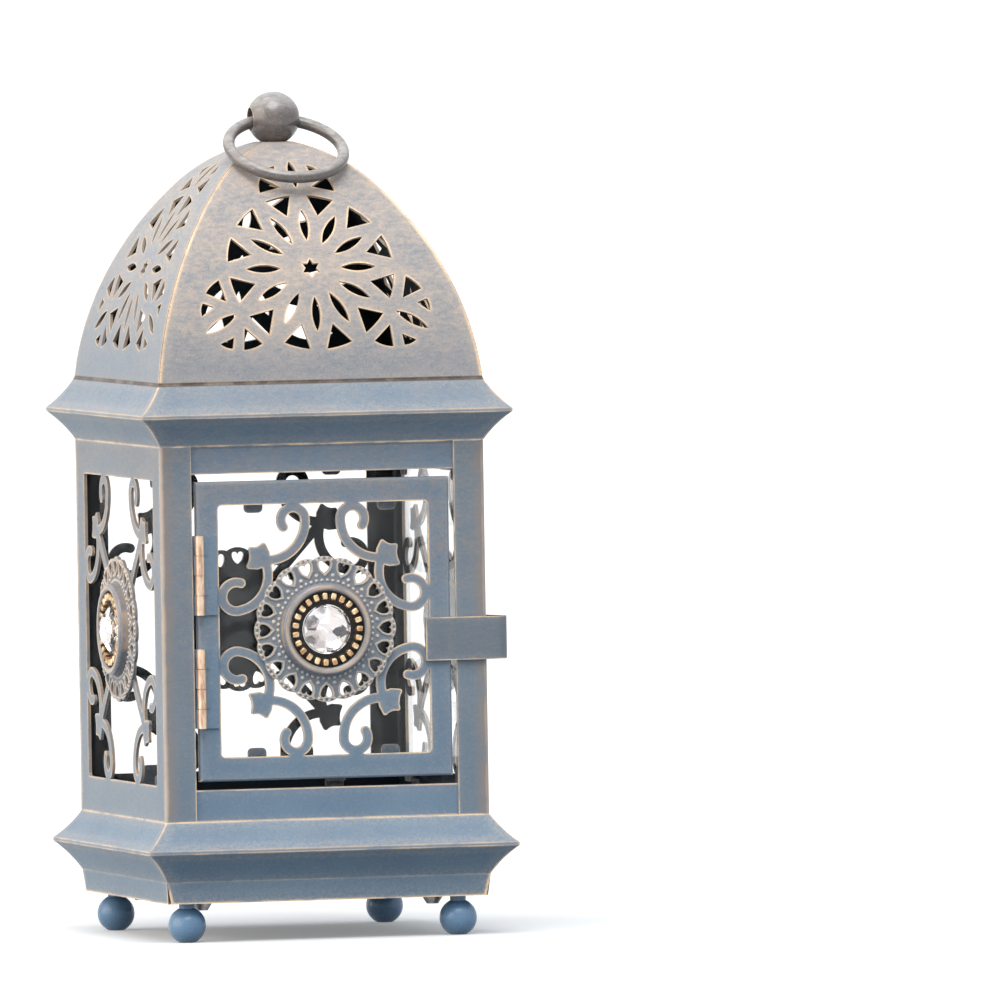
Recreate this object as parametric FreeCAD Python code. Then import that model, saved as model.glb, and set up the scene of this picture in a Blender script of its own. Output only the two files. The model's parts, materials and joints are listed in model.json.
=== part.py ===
import FreeCAD, Part
import math
import os

V = FreeCAD.Vector
ORIGIN = V(0, 0, 0)
ALONG_X = V(1, 0, 0)
ALONG_Y = V(0, 1, 0)
UP = V(0, 0, 1)

# Millimetres. The ground is at Z 0 under the ball feet, the door faces -Y.

# Sheet metal, seams and fits
sheet = 0.8              # painted steel sheet
bend = 0.7               # outside radius of a folded or rolled edge
seam = 0.1               # gap left at a soldered edge
clear = 0.3              # gap between pieces that move past each other
pin_fit = 0.05           # radial play of a hinge pin in its knuckles
screw_fit = 0.1          # radial play of a screw in its hole

# Feet
foot_r = 4.7             # ball foot
foot_flat = 0.4          # worn flat under the ball, as a depth
foot_inset = 6.8         # from the body's side to the foot's axis
foot_neck_r = 2.0        # neck between ball and base plate
foot_shank_r = 1.5       # threaded end, through base plate and lip
foot_shank_rise = 3.0    # shank that shows above the lip

# Base
plate_height = 10.1      # underside of the base plate above the ground
skirt_lap = 0.2          # the skirt hangs below the base plate by this much
skirt_height = 5.5
skirt_taper = 0.5        # the skirt leans in by this much at its lower edge
skirt_slit = 0.9         # open corner of the skirt, at its lower edge
base_lower = 7.6         # height of the lower slope
base_upper = 7.35        # height of the upper slope
ridge_out = 6.0          # ridges of base and cornice stand out from the body
ridge_land = 0.8         # blunt edge of a ridge
cove = 0.4               # hollow of a sloped face
moulding_wall = 1.1      # wall of base and cornice, measured level
mouth_half = 34.0        # half of the square opening in base and cornice
lip_width = 15.0         # return lip under the base, from the skirt inwards
screw_inset = 12.0       # from the body's side to a base screw
screw_r = 1.4
screw_head_r = 3.0
screw_head_height = 2.4
screw_rise = 2.0         # screw end above the lip

# Body
body_half = 42.0         # half of the square body
body_height = 94.0
post_width = 8.0         # front posts
top_rail = 7.05
bottom_rail = 7.85
rail_lip = 3.0           # rail edge folded towards the inside
side_stile = 8.0         # side panel beside its window
side_head = 8.55         # side panel above its window
side_sill = 8.95         # side panel below its window
window_corner = 1.0

# Door
hinge_gap = 1.1          # post to door, at the hinges
latch_gap = 1.3          # post to door, at the latch
door_gap_top = 1.9
door_gap_bottom = 2.15
door_stile = 5.6
door_rail = 6.0
door_depth = 2.0         # door with its folded edge

# Glass and its bent tabs
glass = 1.6
glass_gap = 0.1          # play in front of and behind the glass
glass_lap = 2.5          # glass behind the window's edge
tab_sheet = 0.6
tab_width = 4.8
tab_inset = 9.9          # from the window's side to the middle of a tab
tab_reach = 2.1          # tab seen inside the window's edge
tab_foot = 2.0           # welded foot of a tab
tab_corner = 1.2

# Scroll fretwork, the same in every window and placed from the window's corners
scroll_width = 2.4
scroll_bite = 0.3        # depth of a curl sunk into the window's edge
top_curl_r = 3.1         # middle line of the curl at the window's head
side_curl_r = 3.6        # middle line of the curl at the window's side
top_curl_in = 19.5       # curl at the head, from the window's side
side_curl_down = 22.9    # curl at the side, from the window's head
top_curl_ends = (-35, 180)      # degrees
side_curl_ends = (-110, 110)    # degrees
leaf_in = 11.0           # middle of the leaf, from the window's side
leaf_down = 12.9         # middle of the leaf, from the window's head
leaf_lap = 1.0           # the bands end this far short of the leaf's middle
leaf_root = (-2.6, -2.2)                                  # the leaf's outline about its middle
leaf_shoulders = ((-2.3, 1.2), (0.9, -3.3))
leaf_tips = ((-0.9, 3.9), (3.6, 2.8), (4.1, -3.0))
leaf_hollows = ((1.7, 2.3), (2.9, 0.0))                   # lowest points between the tips
leaf_tip_r = 0.6         # rounding of the tips
sweep_bow = (21.0, 9.6)  # where the upper band bows, from the window's side and head
stem_bow = (11.6, 22.1)  # where the lower band bows, from the window's side and head
stem_touch_deg = 31      # on the door the lower band bows against the medallion's rim
stem_lap = 0.1           # its middle line lies this far inside the rim
strut_end_r = 14.0       # struts of the side windows reach in under the medallion

# Medallion
filigree_r = 18.3
filigree_sheet = 0.8
scallop = 0.7            # depth of the notches in the rim
heart_count = 20
heart_r = 15.6           # hearts from the medallion's middle
heart_length = 3.2
heart_width = 3.1
heart_bow = 0.4          # the sides of a heart bow out past a straight line
bezel_in = 9.5
bezel_out = 11.6
bezel_rise = 2.6
claw_count = 23
claw_eye_r = 6.2         # opening of the claw ring under the crystal
claw_in = 7.3
claw_width = 1.5
claw_rise = 1.5
claw_seat = 1.0          # thickness of the ring that carries the claws
crystal_r = 6.4
crystal_sides = 8
crystal_table_r = 3.4    # main facets, where they meet the flat in front
crystal_star_r = 4.6     # facets between the main ones, at the same level
crystal_culet_r = 0.8    # main facets at the back
crystal_back_r = 2.1     # facets between the main ones, at the back
crystal_crown = 2.0      # from girdle to table
crystal_girdle = 0.4
crystal_depth = 1.1      # from girdle to the back

# Hinges
hinge_length = 20.0
hinge_low_share = 0.312  # middle of the lower hinge, as a share of the door's height
hinge_high_share = 0.690
knuckle_count = 4
knuckle_gap = 0.15
knuckle_r = 1.15
hinge_pin_r = 0.6
leaf_sheet = 0.5
door_leaf_width = 5.0
frame_leaf_width = 5.5

# Latch
latch_height = 10.8
latch_low = 28.9         # lower edge above the door's bottom
latch_root = 6.8         # strap welded on the door, from the door's edge
latch_out = 5.6          # the bend stands out from the body's side
latch_bend_r = 3.0
latch_tail = 9.0         # tail along the body's side, behind the bend
latch_lip = 2.5          # turned-out end of the tail

# Roof
cornice_lower = 7.55
cornice_upper = 8.0
dome_lean_deg = 5.5      # from upright at the dome's foot
dome_turn_deg = 42.2     # from upright where the curve tightens
dome_low_r = 85.6
dome_high_r = 35.0
crown_half = 4.0         # small flat at the top
crown_drop = 2.4         # top of the crown plate below the flat
crown_sheet = 1.2

# Dome rosette, as distances and angles on the unrolled panel
rosette_rise = 29.5      # middle of the rosette above the dome's foot
rosette_folds = 12
star_points = 6
star_r = 2.5
star_notch_r = 1.4
petal_in = 7.75
petal_out = 16.8
petal_width = 2.1
wedge_in = 15.4
wedge_out = 21.4
wedge_half_deg = 9.2
spray_deg = (-30, 90, 210)
spray_in = 23.9
spray_out = 33.4
fan_in = 24.4
fan_out = 28.7
fan_near_deg = 9.4       # from the spray's middle line
fan_far_deg = 23.4
fan_tip_deg = 17.4
chip_in = 28.2
chip_mid = 30.4
chip_out = 32.0
chip_near_deg = 7.5
chip_root_deg = 9.5
chip_far_deg = 13.0
rim_bow = 0.35           # rounding of the outer edges of the cut-outs

# Finial and carry ring
ball_r = 6.7
ball_seat = 5.9          # ball's middle above its flat
hole_drop = 0.2          # cross hole below the ball's middle
finial_screw_r = 1.4
finial_head_r = 3.0
finial_head_height = 1.8
ring_r = 14.5            # middle line of the carry ring
ring_wire = 1.5          # radius of its wire
ring_low = 0.5           # the wire lies this far below the middle of the cross hole
ring_rest_deg = 0.001    # how closely the ring's rest on the dome is found

# Levels and places that follow from the sizes above
z_lip = plate_height + sheet
z_skirt = plate_height - skirt_lap
z_skirt_top = z_skirt + skirt_height
z_base_ridge = z_skirt_top + base_lower
z_body = z_base_ridge + base_upper
z_eave = z_body + body_height
z_cornice_ridge = z_eave + cornice_lower
z_dome = z_cornice_ridge + cornice_upper
ridge_half = body_half + ridge_out
inside_half = body_half - sheet
front = -body_half
opening_half = body_half - post_width
door_left = hinge_gap - opening_half
door_right = opening_half - latch_gap
door_bottom = z_body + bottom_rail + door_gap_bottom
door_top = z_eave - top_rail - door_gap_top
hinge_x = door_left - clear - leaf_sheet + knuckle_r
hinge_y = front - knuckle_r - clear
far_out = 2 * ridge_half


def box(x0, x1, y0, y1, z0, z1):
    return Part.makeBox(x1 - x0, y1 - y0, z1 - z0, V(x0, y0, z0))


def rod(radius, x, y, z0, z1):
    return Part.makeCylinder(radius, z1 - z0, V(x, y, z0))


def turned(shape, angle):
    """Copy of a shape turned about the lantern's upright middle line."""
    copy = shape.copy()
    copy.rotate(ORIGIN, UP, angle)
    return copy


def moved(shape, x, y, z):
    copy = shape.copy()
    copy.translate(V(x, y, z))
    return copy


def point(pair):
    return V(pair[0], 0, pair[1])


def line(start, end):
    return Part.LineSegment(point(start), point(end)).toShape()


def arc(start, middle, end):
    return Part.Arc(point(start), point(middle), point(end)).toShape()


def loop(points):
    """Straight edges round a closed outline."""
    return [line(p, q) for p, q in zip(points, points[1:] + points[:1])]


def polar(radius, degrees):
    turn = math.radians(degrees)
    return (radius * math.cos(turn), radius * math.sin(turn))


def prism(edges, y0, y1):
    """Solid between two depths from an outline drawn seen from the front."""
    face = Part.Face(Part.Wire(Part.__sortEdges__(edges)))
    face.translate(V(0, y0, 0))
    return face.extrude(V(0, y1 - y0, 0))


def bowed(start, end, bow):
    """Arc between two points whose middle lies to the left by bow."""
    run = end[0] - start[0]
    rise = end[1] - start[1]
    length = math.hypot(run, rise)
    middle_x = (start[0] + end[0]) / 2 - bow * rise / length
    middle_z = (start[1] + end[1]) / 2 + bow * run / length
    return arc(start, (middle_x, middle_z), end)


def four_sided(right):
    """Solid with the same outline seen from the front and from the side."""
    low = right[0].Vertexes[0].Point
    high = right[-1].Vertexes[-1].Point
    left = [edge.mirror(ORIGIN, ALONG_X) for edge in right]
    ends = [line((-p.x, p.z), (p.x, p.z)) for p in (low, high)]
    through = prism(right + left + ends, -far_out, far_out)
    return through.common(turned(through, 90))


def slab(z0, z1):
    """Everything between two levels."""
    return box(-far_out, far_out, -far_out, far_out, z0, z1)


def runs_back(edge):
    """True for an edge that runs from the front to the back."""
    return abs(edge.tangentAt(edge.FirstParameter).y) > math.sqrt(0.5)


def corners(half):
    """The four corners of a square about the upright middle line."""
    return [(x * half, y * half) for y in (-1, 1) for x in (-1, 1)]


# Base and cornice
def moulding_outline(levels, inset):
    """Right side of a moulding: upright faces straight, slopes coved."""
    points = [(half - inset, z) for half, z in levels]
    edges = []
    for low, high in zip(points, points[1:]):
        sloped = abs(high[0] - low[0]) > ridge_out / 2
        edges.append(bowed(low, high, cove) if sloped else line(low, high))
    return edges


def base_moulding():
    levels = [
        (body_half - skirt_taper, z_skirt),
        (body_half, z_skirt_top),
        (ridge_half, z_base_ridge - ridge_land / 2),
        (ridge_half, z_base_ridge + ridge_land / 2),
        (body_half, z_body),
    ]
    outside = four_sided(moulding_outline(levels, 0))
    inside = four_sided(moulding_outline(levels, moulding_wall))
    lip_top = z_lip + sheet
    lip_half = body_half - lip_width
    recess = inside.common(slab(z_skirt, z_lip))
    hollow = inside.common(slab(lip_top, z_body - sheet))
    lip_mouth = box(-lip_half, lip_half, -lip_half, lip_half, z_lip, lip_top)
    mouth = box(-mouth_half, mouth_half, -mouth_half, mouth_half, z_body - sheet, z_body)
    return outside.cut([recess, hollow, lip_mouth, mouth] + corner_slits() + lip_holes())


def corner_slits():
    """The skirt's sheets part at each corner in a narrow upright wedge."""
    corner = body_half * math.sqrt(2)
    depth = 2 * moulding_wall * math.sqrt(2)
    outline = loop([(-skirt_slit / 2, z_skirt), (skirt_slit / 2, z_skirt), (0, z_skirt_top)])
    slit = prism(outline, -corner, depth - corner)
    return [turned(slit, 45 + 90 * side) for side in range(4)]


def lip_holes():
    top = z_lip + sheet
    feet = corners(body_half - foot_inset)
    screws = corners(body_half - screw_inset)
    holes = [rod(foot_shank_r + screw_fit, x, y, plate_height, top) for x, y in feet]
    return holes + [rod(screw_r + screw_fit, x, y, plate_height, top) for x, y in screws]


def base_plate():
    half = body_half - skirt_taper - moulding_wall - seam
    return box(-half, half, -half, half, plate_height, z_lip).cut(lip_holes())


def candle_floor():
    half = inside_half - sheet - seam
    return box(-half, half, -half, half, z_body, z_body + sheet)


def ball_foot(x, y):
    middle = foot_r - foot_flat
    ball = Part.makeSphere(foot_r, V(x, y, middle)).common(slab(0, plate_height))
    neck = rod(foot_neck_r, x, y, middle, plate_height)
    shank = rod(foot_shank_r, x, y, middle, z_lip + sheet + foot_shank_rise)
    return ball.fuse([neck, shank]).removeSplitter()


def base_screws():
    bottom = plate_height - screw_head_height
    screws = []
    for x, y in corners(body_half - screw_inset):
        head = Part.makeCone(screw_head_r / 2, screw_head_r, screw_head_height, V(x, y, bottom))
        shank = rod(screw_r, x, y, plate_height, z_lip + sheet + screw_rise)
        screws.append(head.fuse(shank).removeSplitter())
    return Part.makeCompound(screws)


def roof_cornice():
    levels = [
        (body_half, z_eave),
        (ridge_half, z_cornice_ridge - ridge_land / 2),
        (ridge_half, z_cornice_ridge + ridge_land / 2),
        (body_half, z_dome),
    ]
    outside = four_sided(moulding_outline(levels, 0))
    inside = four_sided(moulding_outline(levels, moulding_wall))
    hollow = inside.common(slab(z_eave + sheet, z_dome - sheet))
    mouth = box(-mouth_half, mouth_half, -mouth_half, mouth_half, z_eave, z_dome)
    return outside.cut([hollow, mouth])


# Windows, scrolls and glass. All are drawn as if on the front and then turned.
class Window:
    """Opening in a sheet, kept as its middle and its half sizes."""

    def __init__(self, x0, x1, z0, z1):
        self.x = (x0 + x1) / 2
        self.z = (z0 + z1) / 2
        self.half_x = (x1 - x0) / 2
        self.half_z = (z1 - z0) / 2

    def cut(self):
        x, z = self.half_x, self.half_z
        opening = box(-x, x, front - sheet, front + 2 * sheet, -z, z)
        across = [edge for edge in opening.Edges if runs_back(edge)]
        return self.place(opening.makeFillet(window_corner, across))

    def place(self, shape):
        return moved(shape, self.x, 0, self.z)


side_window = Window(
    side_stile - body_half, body_half - side_stile,
    z_body + side_sill, z_eave - side_head,
)
door_window = Window(
    door_left + door_stile, door_right - door_stile,
    door_bottom + door_rail, door_top - door_rail,
)


def circle_through(a, b, c):
    """Middle and radius of the circle through three points."""
    ax, az = a[0] - c[0], a[1] - c[1]
    bx, bz = b[0] - c[0], b[1] - c[1]
    twice = 2 * (ax * bz - az * bx)
    a2 = ax * ax + az * az
    b2 = bx * bx + bz * bz
    x = (bz * a2 - az * b2) / twice
    z = (ax * b2 - bx * a2) / twice
    return (c[0] + x, c[1] + z), math.hypot(x, z)


def arc_band(start, middle, end):
    """Flat band of even width with round ends along the arc through three points."""
    centre, radius = circle_through(start, middle, end)
    half_width = scroll_width / 2

    def spread(p, offset):
        k = (radius + offset) / radius
        return (centre[0] + (p[0] - centre[0]) * k, centre[1] + (p[1] - centre[1]) * k)

    def cap(p, other):
        """Outermost point of the round end at p, on the side away from other."""
        out = ((p[0] - centre[0]) / radius, (p[1] - centre[1]) / radius)
        along = (-out[1], out[0])
        toward = (other[0] - p[0]) * along[0] + (other[1] - p[1]) * along[1]
        sign = -1 if toward > 0 else 1
        return (p[0] + sign * along[0] * half_width, p[1] + sign * along[1] * half_width)

    outer = [spread(p, half_width) for p in (start, middle, end)]
    inner = [spread(p, -half_width) for p in (start, middle, end)]
    edges = [
        arc(*outer),
        arc(outer[2], cap(end, middle), inner[2]),
        arc(*inner),
        arc(inner[0], cap(start, middle), outer[0]),
    ]
    return prism(edges, front, front + sheet)


def on_curl(centre, radius, degrees):
    step = polar(radius, degrees)
    return (centre[0] + step[0], centre[1] + step[1])


def curl_points(centre, radius, ends):
    """Start, middle and end of a curl between two angles."""
    turns = (ends[0], (ends[0] + ends[1]) / 2, ends[1])
    return [on_curl(centre, radius, degrees) for degrees in turns]


def leaf(middle):
    """Three-lobed leaf; each hollow edge is an arc between two tips."""
    def at(pair):
        return (middle[0] + pair[0], middle[1] + pair[1])

    root = at(leaf_root)
    shoulder_high, shoulder_low = [at(pair) for pair in leaf_shoulders]
    tip_high, tip_out, tip_low = [at(pair) for pair in leaf_tips]
    hollow_high, hollow_out = [at(pair) for pair in leaf_hollows]
    edges = [
        line(root, shoulder_high),
        line(shoulder_high, tip_high),
        arc(tip_high, hollow_high, tip_out),
        arc(tip_out, hollow_out, tip_low),
        line(tip_low, shoulder_low),
        line(shoulder_low, root),
    ]
    sharp = prism(edges, front, front + sheet)
    tips = []
    for tip in (tip_high, tip_out, tip_low):
        place = V(tip[0], front + sheet / 2, tip[1])
        tips.append(min(sharp.Edges, key=lambda edge: edge.CenterOfMass.distanceToPoint(place)))
    return sharp.makeFillet(leaf_tip_r, tips)


def scroll_quarter(window, with_struts):
    """Upper right quarter of the scrolls, about the window's middle."""
    def from_corner(inwards, down):
        return (window.half_x - inwards, window.half_z - down)

    sunk = scroll_bite - scroll_width / 2
    top_curl = from_corner(top_curl_in, top_curl_r - sunk)
    side_curl = from_corner(side_curl_r - sunk, side_curl_down)
    leaf_middle = from_corner(leaf_in, leaf_down)
    band_end = (leaf_middle[0] - leaf_lap, leaf_middle[1] - leaf_lap)
    hook, hook_middle, sweep_start = curl_points(top_curl, top_curl_r, top_curl_ends)
    stem_end, side_middle, side_hook = curl_points(side_curl, side_curl_r, side_curl_ends)
    rim_point = polar(filigree_r - stem_lap, stem_touch_deg)
    stem_middle = from_corner(*stem_bow) if with_struts else rim_point
    pieces = [
        arc_band(hook, hook_middle, sweep_start),
        arc_band(sweep_start, from_corner(*sweep_bow), band_end),
        leaf(leaf_middle),
        arc_band(band_end, stem_middle, stem_end),
        arc_band(stem_end, side_middle, side_hook),
    ]
    if with_struts:
        pieces.append(strut(leaf_middle))
    return pieces


def scrolls(window, with_struts):
    pieces = scroll_quarter(window, with_struts)
    quarter = pieces[0].fuse(pieces[1:])
    half = quarter.fuse(quarter.mirror(ORIGIN, ALONG_X))
    whole = half.fuse(half.mirror(ORIGIN, UP))
    return window.place(whole)


def strut(leaf_middle):
    """Straight bar from a leaf towards the middle of the window."""
    reach = math.hypot(leaf_middle[0], leaf_middle[1])
    angle = math.degrees(math.atan2(leaf_middle[1], leaf_middle[0]))
    bar = box(strut_end_r, reach, front, front + sheet, -scroll_width / 2, scroll_width / 2)
    bar.rotate(ORIGIN, ALONG_Y, -angle)
    return bar


def glass_pane(window):
    x = window.half_x + glass_lap
    z = window.half_z + glass_lap
    near = front + sheet + glass_gap
    return window.place(box(-x, x, near, near + glass, -z, z))


def glass_tabs(window):
    """Bent tabs that hold the pane against the sheet, two above and two below."""
    x = window.half_x - tab_inset
    near = front + sheet
    far = near + 2 * glass_gap + glass
    edge = window.half_z + glass_lap + glass_gap
    low = window.half_z - tab_reach
    side = tab_width / 2
    foot = box(-side, side, near, near + tab_sheet, edge, edge + tab_foot)
    riser = box(-side, side, near, far + tab_sheet, edge, edge + tab_sheet)
    tongue = box(-side, side, far, far + tab_sheet, low, edge + tab_sheet)
    tips = [e for e in tongue.Edges if runs_back(e) and e.CenterOfMass.z < edge]
    tab = tongue.makeFillet(tab_corner, tips).fuse([foot, riser]).removeSplitter()
    pair = [moved(tab, -x, 0, 0), moved(tab, x, 0, 0)]
    pair += [each.mirror(ORIGIN, UP) for each in pair]
    return Part.makeCompound([window.place(each) for each in pair])


def pierced(panel, window, with_struts):
    return panel.cut(window.cut()).fuse(scrolls(window, with_struts)).removeSplitter()


def front_post():
    """Left-hand post: an upright strip in front of the side panel, its outer corner rounded."""
    strip = box(-body_half, -opening_half, front, front + sheet, z_body, z_eave)
    middle = V(-body_half, front, (z_body + z_eave) / 2)
    corner = min(strip.Edges, key=lambda edge: edge.CenterOfMass.distanceToPoint(middle))
    return strip.makeFillet(bend, [corner])


def side_panel():
    """Left panel, drawn on the front: its right-hand end stands behind the post."""
    plain = box(seam - inside_half, inside_half, front, front + sheet, z_body, z_eave)
    return pierced(plain, side_window, True)


def back_panel():
    plain = box(-body_half, body_half, front, front + sheet, z_body, z_eave)
    return pierced(plain, side_window, True)


def front_rail(z0, z1, z_fold):
    """Strip behind the posts with its free edge folded to the inside."""
    half = inside_half - seam
    near = front + sheet
    strip = box(-half, half, near, near + sheet, z0, z1)
    fold = box(-half, half, near, near + rail_lip, z_fold, z_fold + sheet)
    return strip.fuse(fold).removeSplitter()


# Door, hinges and latch
def door_panel():
    tray = box(door_left, door_right, front, front + door_depth, door_bottom, door_top)
    rim = [edge for edge in tray.Edges if abs(edge.CenterOfMass.y - front) < seam]
    tray = tray.makeFillet(bend, rim)
    pocket = box(door_left + sheet, door_right - sheet, front + sheet, front + door_depth,
                 door_bottom + sheet, door_top - sheet)
    return pierced(tray.cut(pocket), door_window, False)


def knuckle(number, bottom):
    """One rolled length of the hinge barrel, counted from the bottom."""
    pitch = hinge_length / knuckle_count
    z0 = bottom + number * pitch
    z1 = z0 + pitch - knuckle_gap
    barrel = rod(knuckle_r, hinge_x, hinge_y, z0, z1)
    return barrel, z0, z1


def bored(shape, bottom):
    bore = rod(hinge_pin_r + pin_fit, hinge_x, hinge_y, bottom, bottom + hinge_length)
    return shape.cut(bore).removeSplitter()


def door_leaf(middle):
    """Leaf on the door's face; its plate keeps clear of the frame's knuckles."""
    bottom = middle - hinge_length / 2
    right = door_left + door_leaf_width
    plate_face = front - leaf_sheet
    left = hinge_x + math.sqrt((knuckle_r + clear) ** 2 - (plate_face - hinge_y) ** 2)
    leaf_plate = box(left, right, plate_face, front, bottom, bottom + hinge_length - knuckle_gap)
    pieces = []
    for number in range(1, knuckle_count, 2):
        barrel, z0, z1 = knuckle(number, bottom)
        root = box(hinge_x, hinge_x + 2 * knuckle_r, hinge_y + knuckle_r - leaf_sheet, front, z0, z1)
        pieces += [barrel, root]
    return bored(leaf_plate.fuse(pieces), bottom)


def frame_leaf(middle):
    """Leaf soldered behind the post; its webs come forward through the hinge gap."""
    bottom = middle - hinge_length / 2
    left = hinge_x - knuckle_r
    near = front + sheet
    leaf_plate = box(-opening_half - frame_leaf_width, left + leaf_sheet, near, near + leaf_sheet,
                     bottom, bottom + hinge_length - knuckle_gap)
    pieces = []
    for number in range(0, knuckle_count, 2):
        barrel, z0, z1 = knuckle(number, bottom)
        web = box(left, left + leaf_sheet, hinge_y, near + leaf_sheet, z0, z1)
        pieces += [barrel, web]
    return bored(leaf_plate.fuse(pieces), bottom)


def hinge_pin(middle):
    bottom = middle - hinge_length / 2
    return rod(hinge_pin_r, hinge_x, hinge_y, bottom, bottom + hinge_length)


def latch_clip():
    """Springy strap from the door round the right-hand corner."""
    near = front - clear
    start = door_right - latch_root
    outer = body_half + latch_out
    bend_x = outer - latch_bend_r
    bend_y = near - sheet + latch_bend_r
    tail_x = body_half + clear + sheet
    tail_y = bend_y + latch_tail
    end = (tail_x + latch_lip / 2, tail_y + latch_lip)
    run = math.hypot(outer - tail_x, latch_tail)
    inward = (sheet * latch_tail / run, sheet * (outer - tail_x) / run)
    turn = math.sqrt(0.5)
    inner_r = latch_bend_r - sheet

    def edge(p, q):
        return Part.LineSegment(V(p[0], p[1], 0), V(q[0], q[1], 0)).toShape()

    def bend_arc(radius):
        ends = V(bend_x, bend_y - radius, 0), V(bend_x + radius, bend_y, 0)
        return Part.Arc(ends[0], V(bend_x + radius * turn, bend_y - radius * turn, 0), ends[1]).toShape()

    tail = [(outer, bend_y), (tail_x, tail_y), end, (end[0] - inward[0], end[1] + inward[1]),
            (tail_x - sheet, tail_y), (outer - sheet, bend_y)]
    strap = [(bend_x, near), (start, near), (start, near - sheet), (bend_x, near - sheet)]
    edges = [edge(p, q) for p, q in zip(tail, tail[1:])]
    edges += [edge(p, q) for p, q in zip(strap, strap[1:])]
    edges += [bend_arc(latch_bend_r), bend_arc(inner_r)]
    z0 = door_bottom + latch_low
    plan = Part.Face(Part.Wire(Part.__sortEdges__(edges)))
    clip = moved(plan, 0, 0, z0).extrude(V(0, 0, latch_height))
    weld = box(start, door_right - bend, near, front, z0, z0 + latch_height)
    return clip.fuse(weld).removeSplitter()


# Medallion, drawn with its back at Y 0 and its face towards -Y
def heart(middle_degrees):
    """Heart-shaped hole with its point towards the middle of the disc."""
    half = heart_width / 2
    tip = (heart_r - heart_length / 2, 0)
    lobe = heart_r + heart_length / 2 - half / 2
    slant = math.atan2(half, lobe - tip[0])
    bow_r = (tip[0] + lobe) / 2 - heart_bow * math.sin(slant)
    bow_side = half / 2 + heart_bow * math.cos(slant)
    edges = []
    for sign in (-1, 1):
        shoulder = (lobe, sign * half)
        edges.append(arc(tip, (bow_r, sign * bow_side), shoulder))
        edges.append(arc(shoulder, (lobe + half / 2, sign * half / 2), (lobe, 0)))
    hole = prism(edges, -filigree_sheet, 0)
    hole.rotate(ORIGIN, ALONG_Y, middle_degrees)
    return hole


def filigree_disc():
    step = 360 / heart_count
    rim = []
    for k in range(heart_count):
        ends = [polar(filigree_r - scallop, (k + side) * step) for side in (-0.5, 0.5)]
        rim.append(arc(ends[0], polar(filigree_r, k * step), ends[1]))
    disc = prism(rim, -filigree_sheet, 0)
    return disc.cut([heart(k * step) for k in range(heart_count)])


def lathe(edges):
    """Turned piece from an outline drawn beside the medallion's axis."""
    face = Part.Face(Part.Wire(Part.__sortEdges__(edges)))
    return face.revolve(ORIGIN, ALONG_Y, 360)


def depth_line(p, q):
    return Part.LineSegment(V(p[0], p[1], 0), V(q[0], q[1], 0)).toShape()


def bezel_ring():
    back = -filigree_sheet
    crown = back - bezel_rise
    shoulder = crown + (bezel_out - bezel_in) / 2
    middle = (bezel_in + bezel_out) / 2
    top = Part.Arc(V(bezel_in, shoulder, 0), V(middle, crown, 0), V(bezel_out, shoulder, 0)).toShape()
    sides = [(bezel_out, shoulder), (bezel_out, back), (bezel_in, back), (bezel_in, shoulder)]
    return lathe([top] + [depth_line(p, q) for p, q in zip(sides, sides[1:])])


def claw_ring():
    back = -filigree_sheet
    seat = back - claw_seat
    outer = bezel_in - seam
    ring = Part.makeCylinder(outer, claw_seat, V(0, seat, 0), ALONG_Y)
    eye = Part.makeCylinder(claw_eye_r, claw_seat, V(0, seat, 0), ALONG_Y)
    long_end = math.sqrt(outer ** 2 - claw_width ** 2 / 4)
    claw = box(claw_in, long_end, seat - claw_rise, seat, -claw_width / 2, claw_width / 2)
    claws = []
    for k in range(claw_count):
        tooth = claw.copy()
        tooth.rotate(ORIGIN, ALONG_Y, k * 360 / claw_count)
        claws.append(tooth)
    return ring.cut(eye).fuse(claws).removeSplitter()


def stone_ring(radius, y, turn):
    """Corners of the stone's outline at one depth."""
    step = 360 / crystal_sides
    pairs = [polar(radius, turn + step * k) for k in range(crystal_sides)]
    return [V(x, y, z) for x, z in pairs]


def flat_face(points):
    return Part.Face(Part.makePolygon(points + points[:1]))


def cut_stone(turn, table_r, culet_r):
    """Stone with one row of facets in front and one behind."""
    girdle_back = -filigree_sheet - claw_seat - seam - (crystal_r - claw_eye_r)
    girdle_front = girdle_back - crystal_girdle
    table = girdle_front - crystal_crown
    culet = girdle_back + crystal_depth
    rows = [(culet_r, culet), (crystal_r, girdle_back), (crystal_r, girdle_front), (table_r, table)]
    rings = [stone_ring(radius, y, turn) for radius, y in rows]
    facets = [flat_face(rings[0]), flat_face(rings[-1])]
    for low, high in zip(rings, rings[1:]):
        for k in range(crystal_sides):
            facets.append(flat_face([low[k - 1], low[k], high[k], high[k - 1]]))
    return Part.Solid(Part.Shell(facets))


def crystal():
    """Stone of two sets of facets, one turned by half a step against the other."""
    main = cut_stone(0, crystal_table_r, crystal_culet_r)
    between = cut_stone(180 / crystal_sides, crystal_star_r, crystal_back_r)
    return main.common(between).removeSplitter()


def medallion():
    return {
        "filigree": filigree_disc(),
        "bezel": bezel_ring(),
        "claw_ring": claw_ring(),
        "crystal": crystal(),
    }


# Dome
low_arc = (body_half - dome_low_r * math.cos(math.radians(dome_lean_deg)),
           z_dome - dome_low_r * math.sin(math.radians(dome_lean_deg)))
arc_step = dome_low_r - dome_high_r
high_arc = (low_arc[0] + arc_step * math.cos(math.radians(dome_turn_deg)),
            low_arc[1] + arc_step * math.sin(math.radians(dome_turn_deg)))
low_length = dome_low_r * math.radians(dome_turn_deg - dome_lean_deg)
crown_lean = math.degrees(math.acos((crown_half - high_arc[0]) / dome_high_r))
z_crown = high_arc[1] + dome_high_r * math.sin(math.radians(crown_lean))


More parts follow.
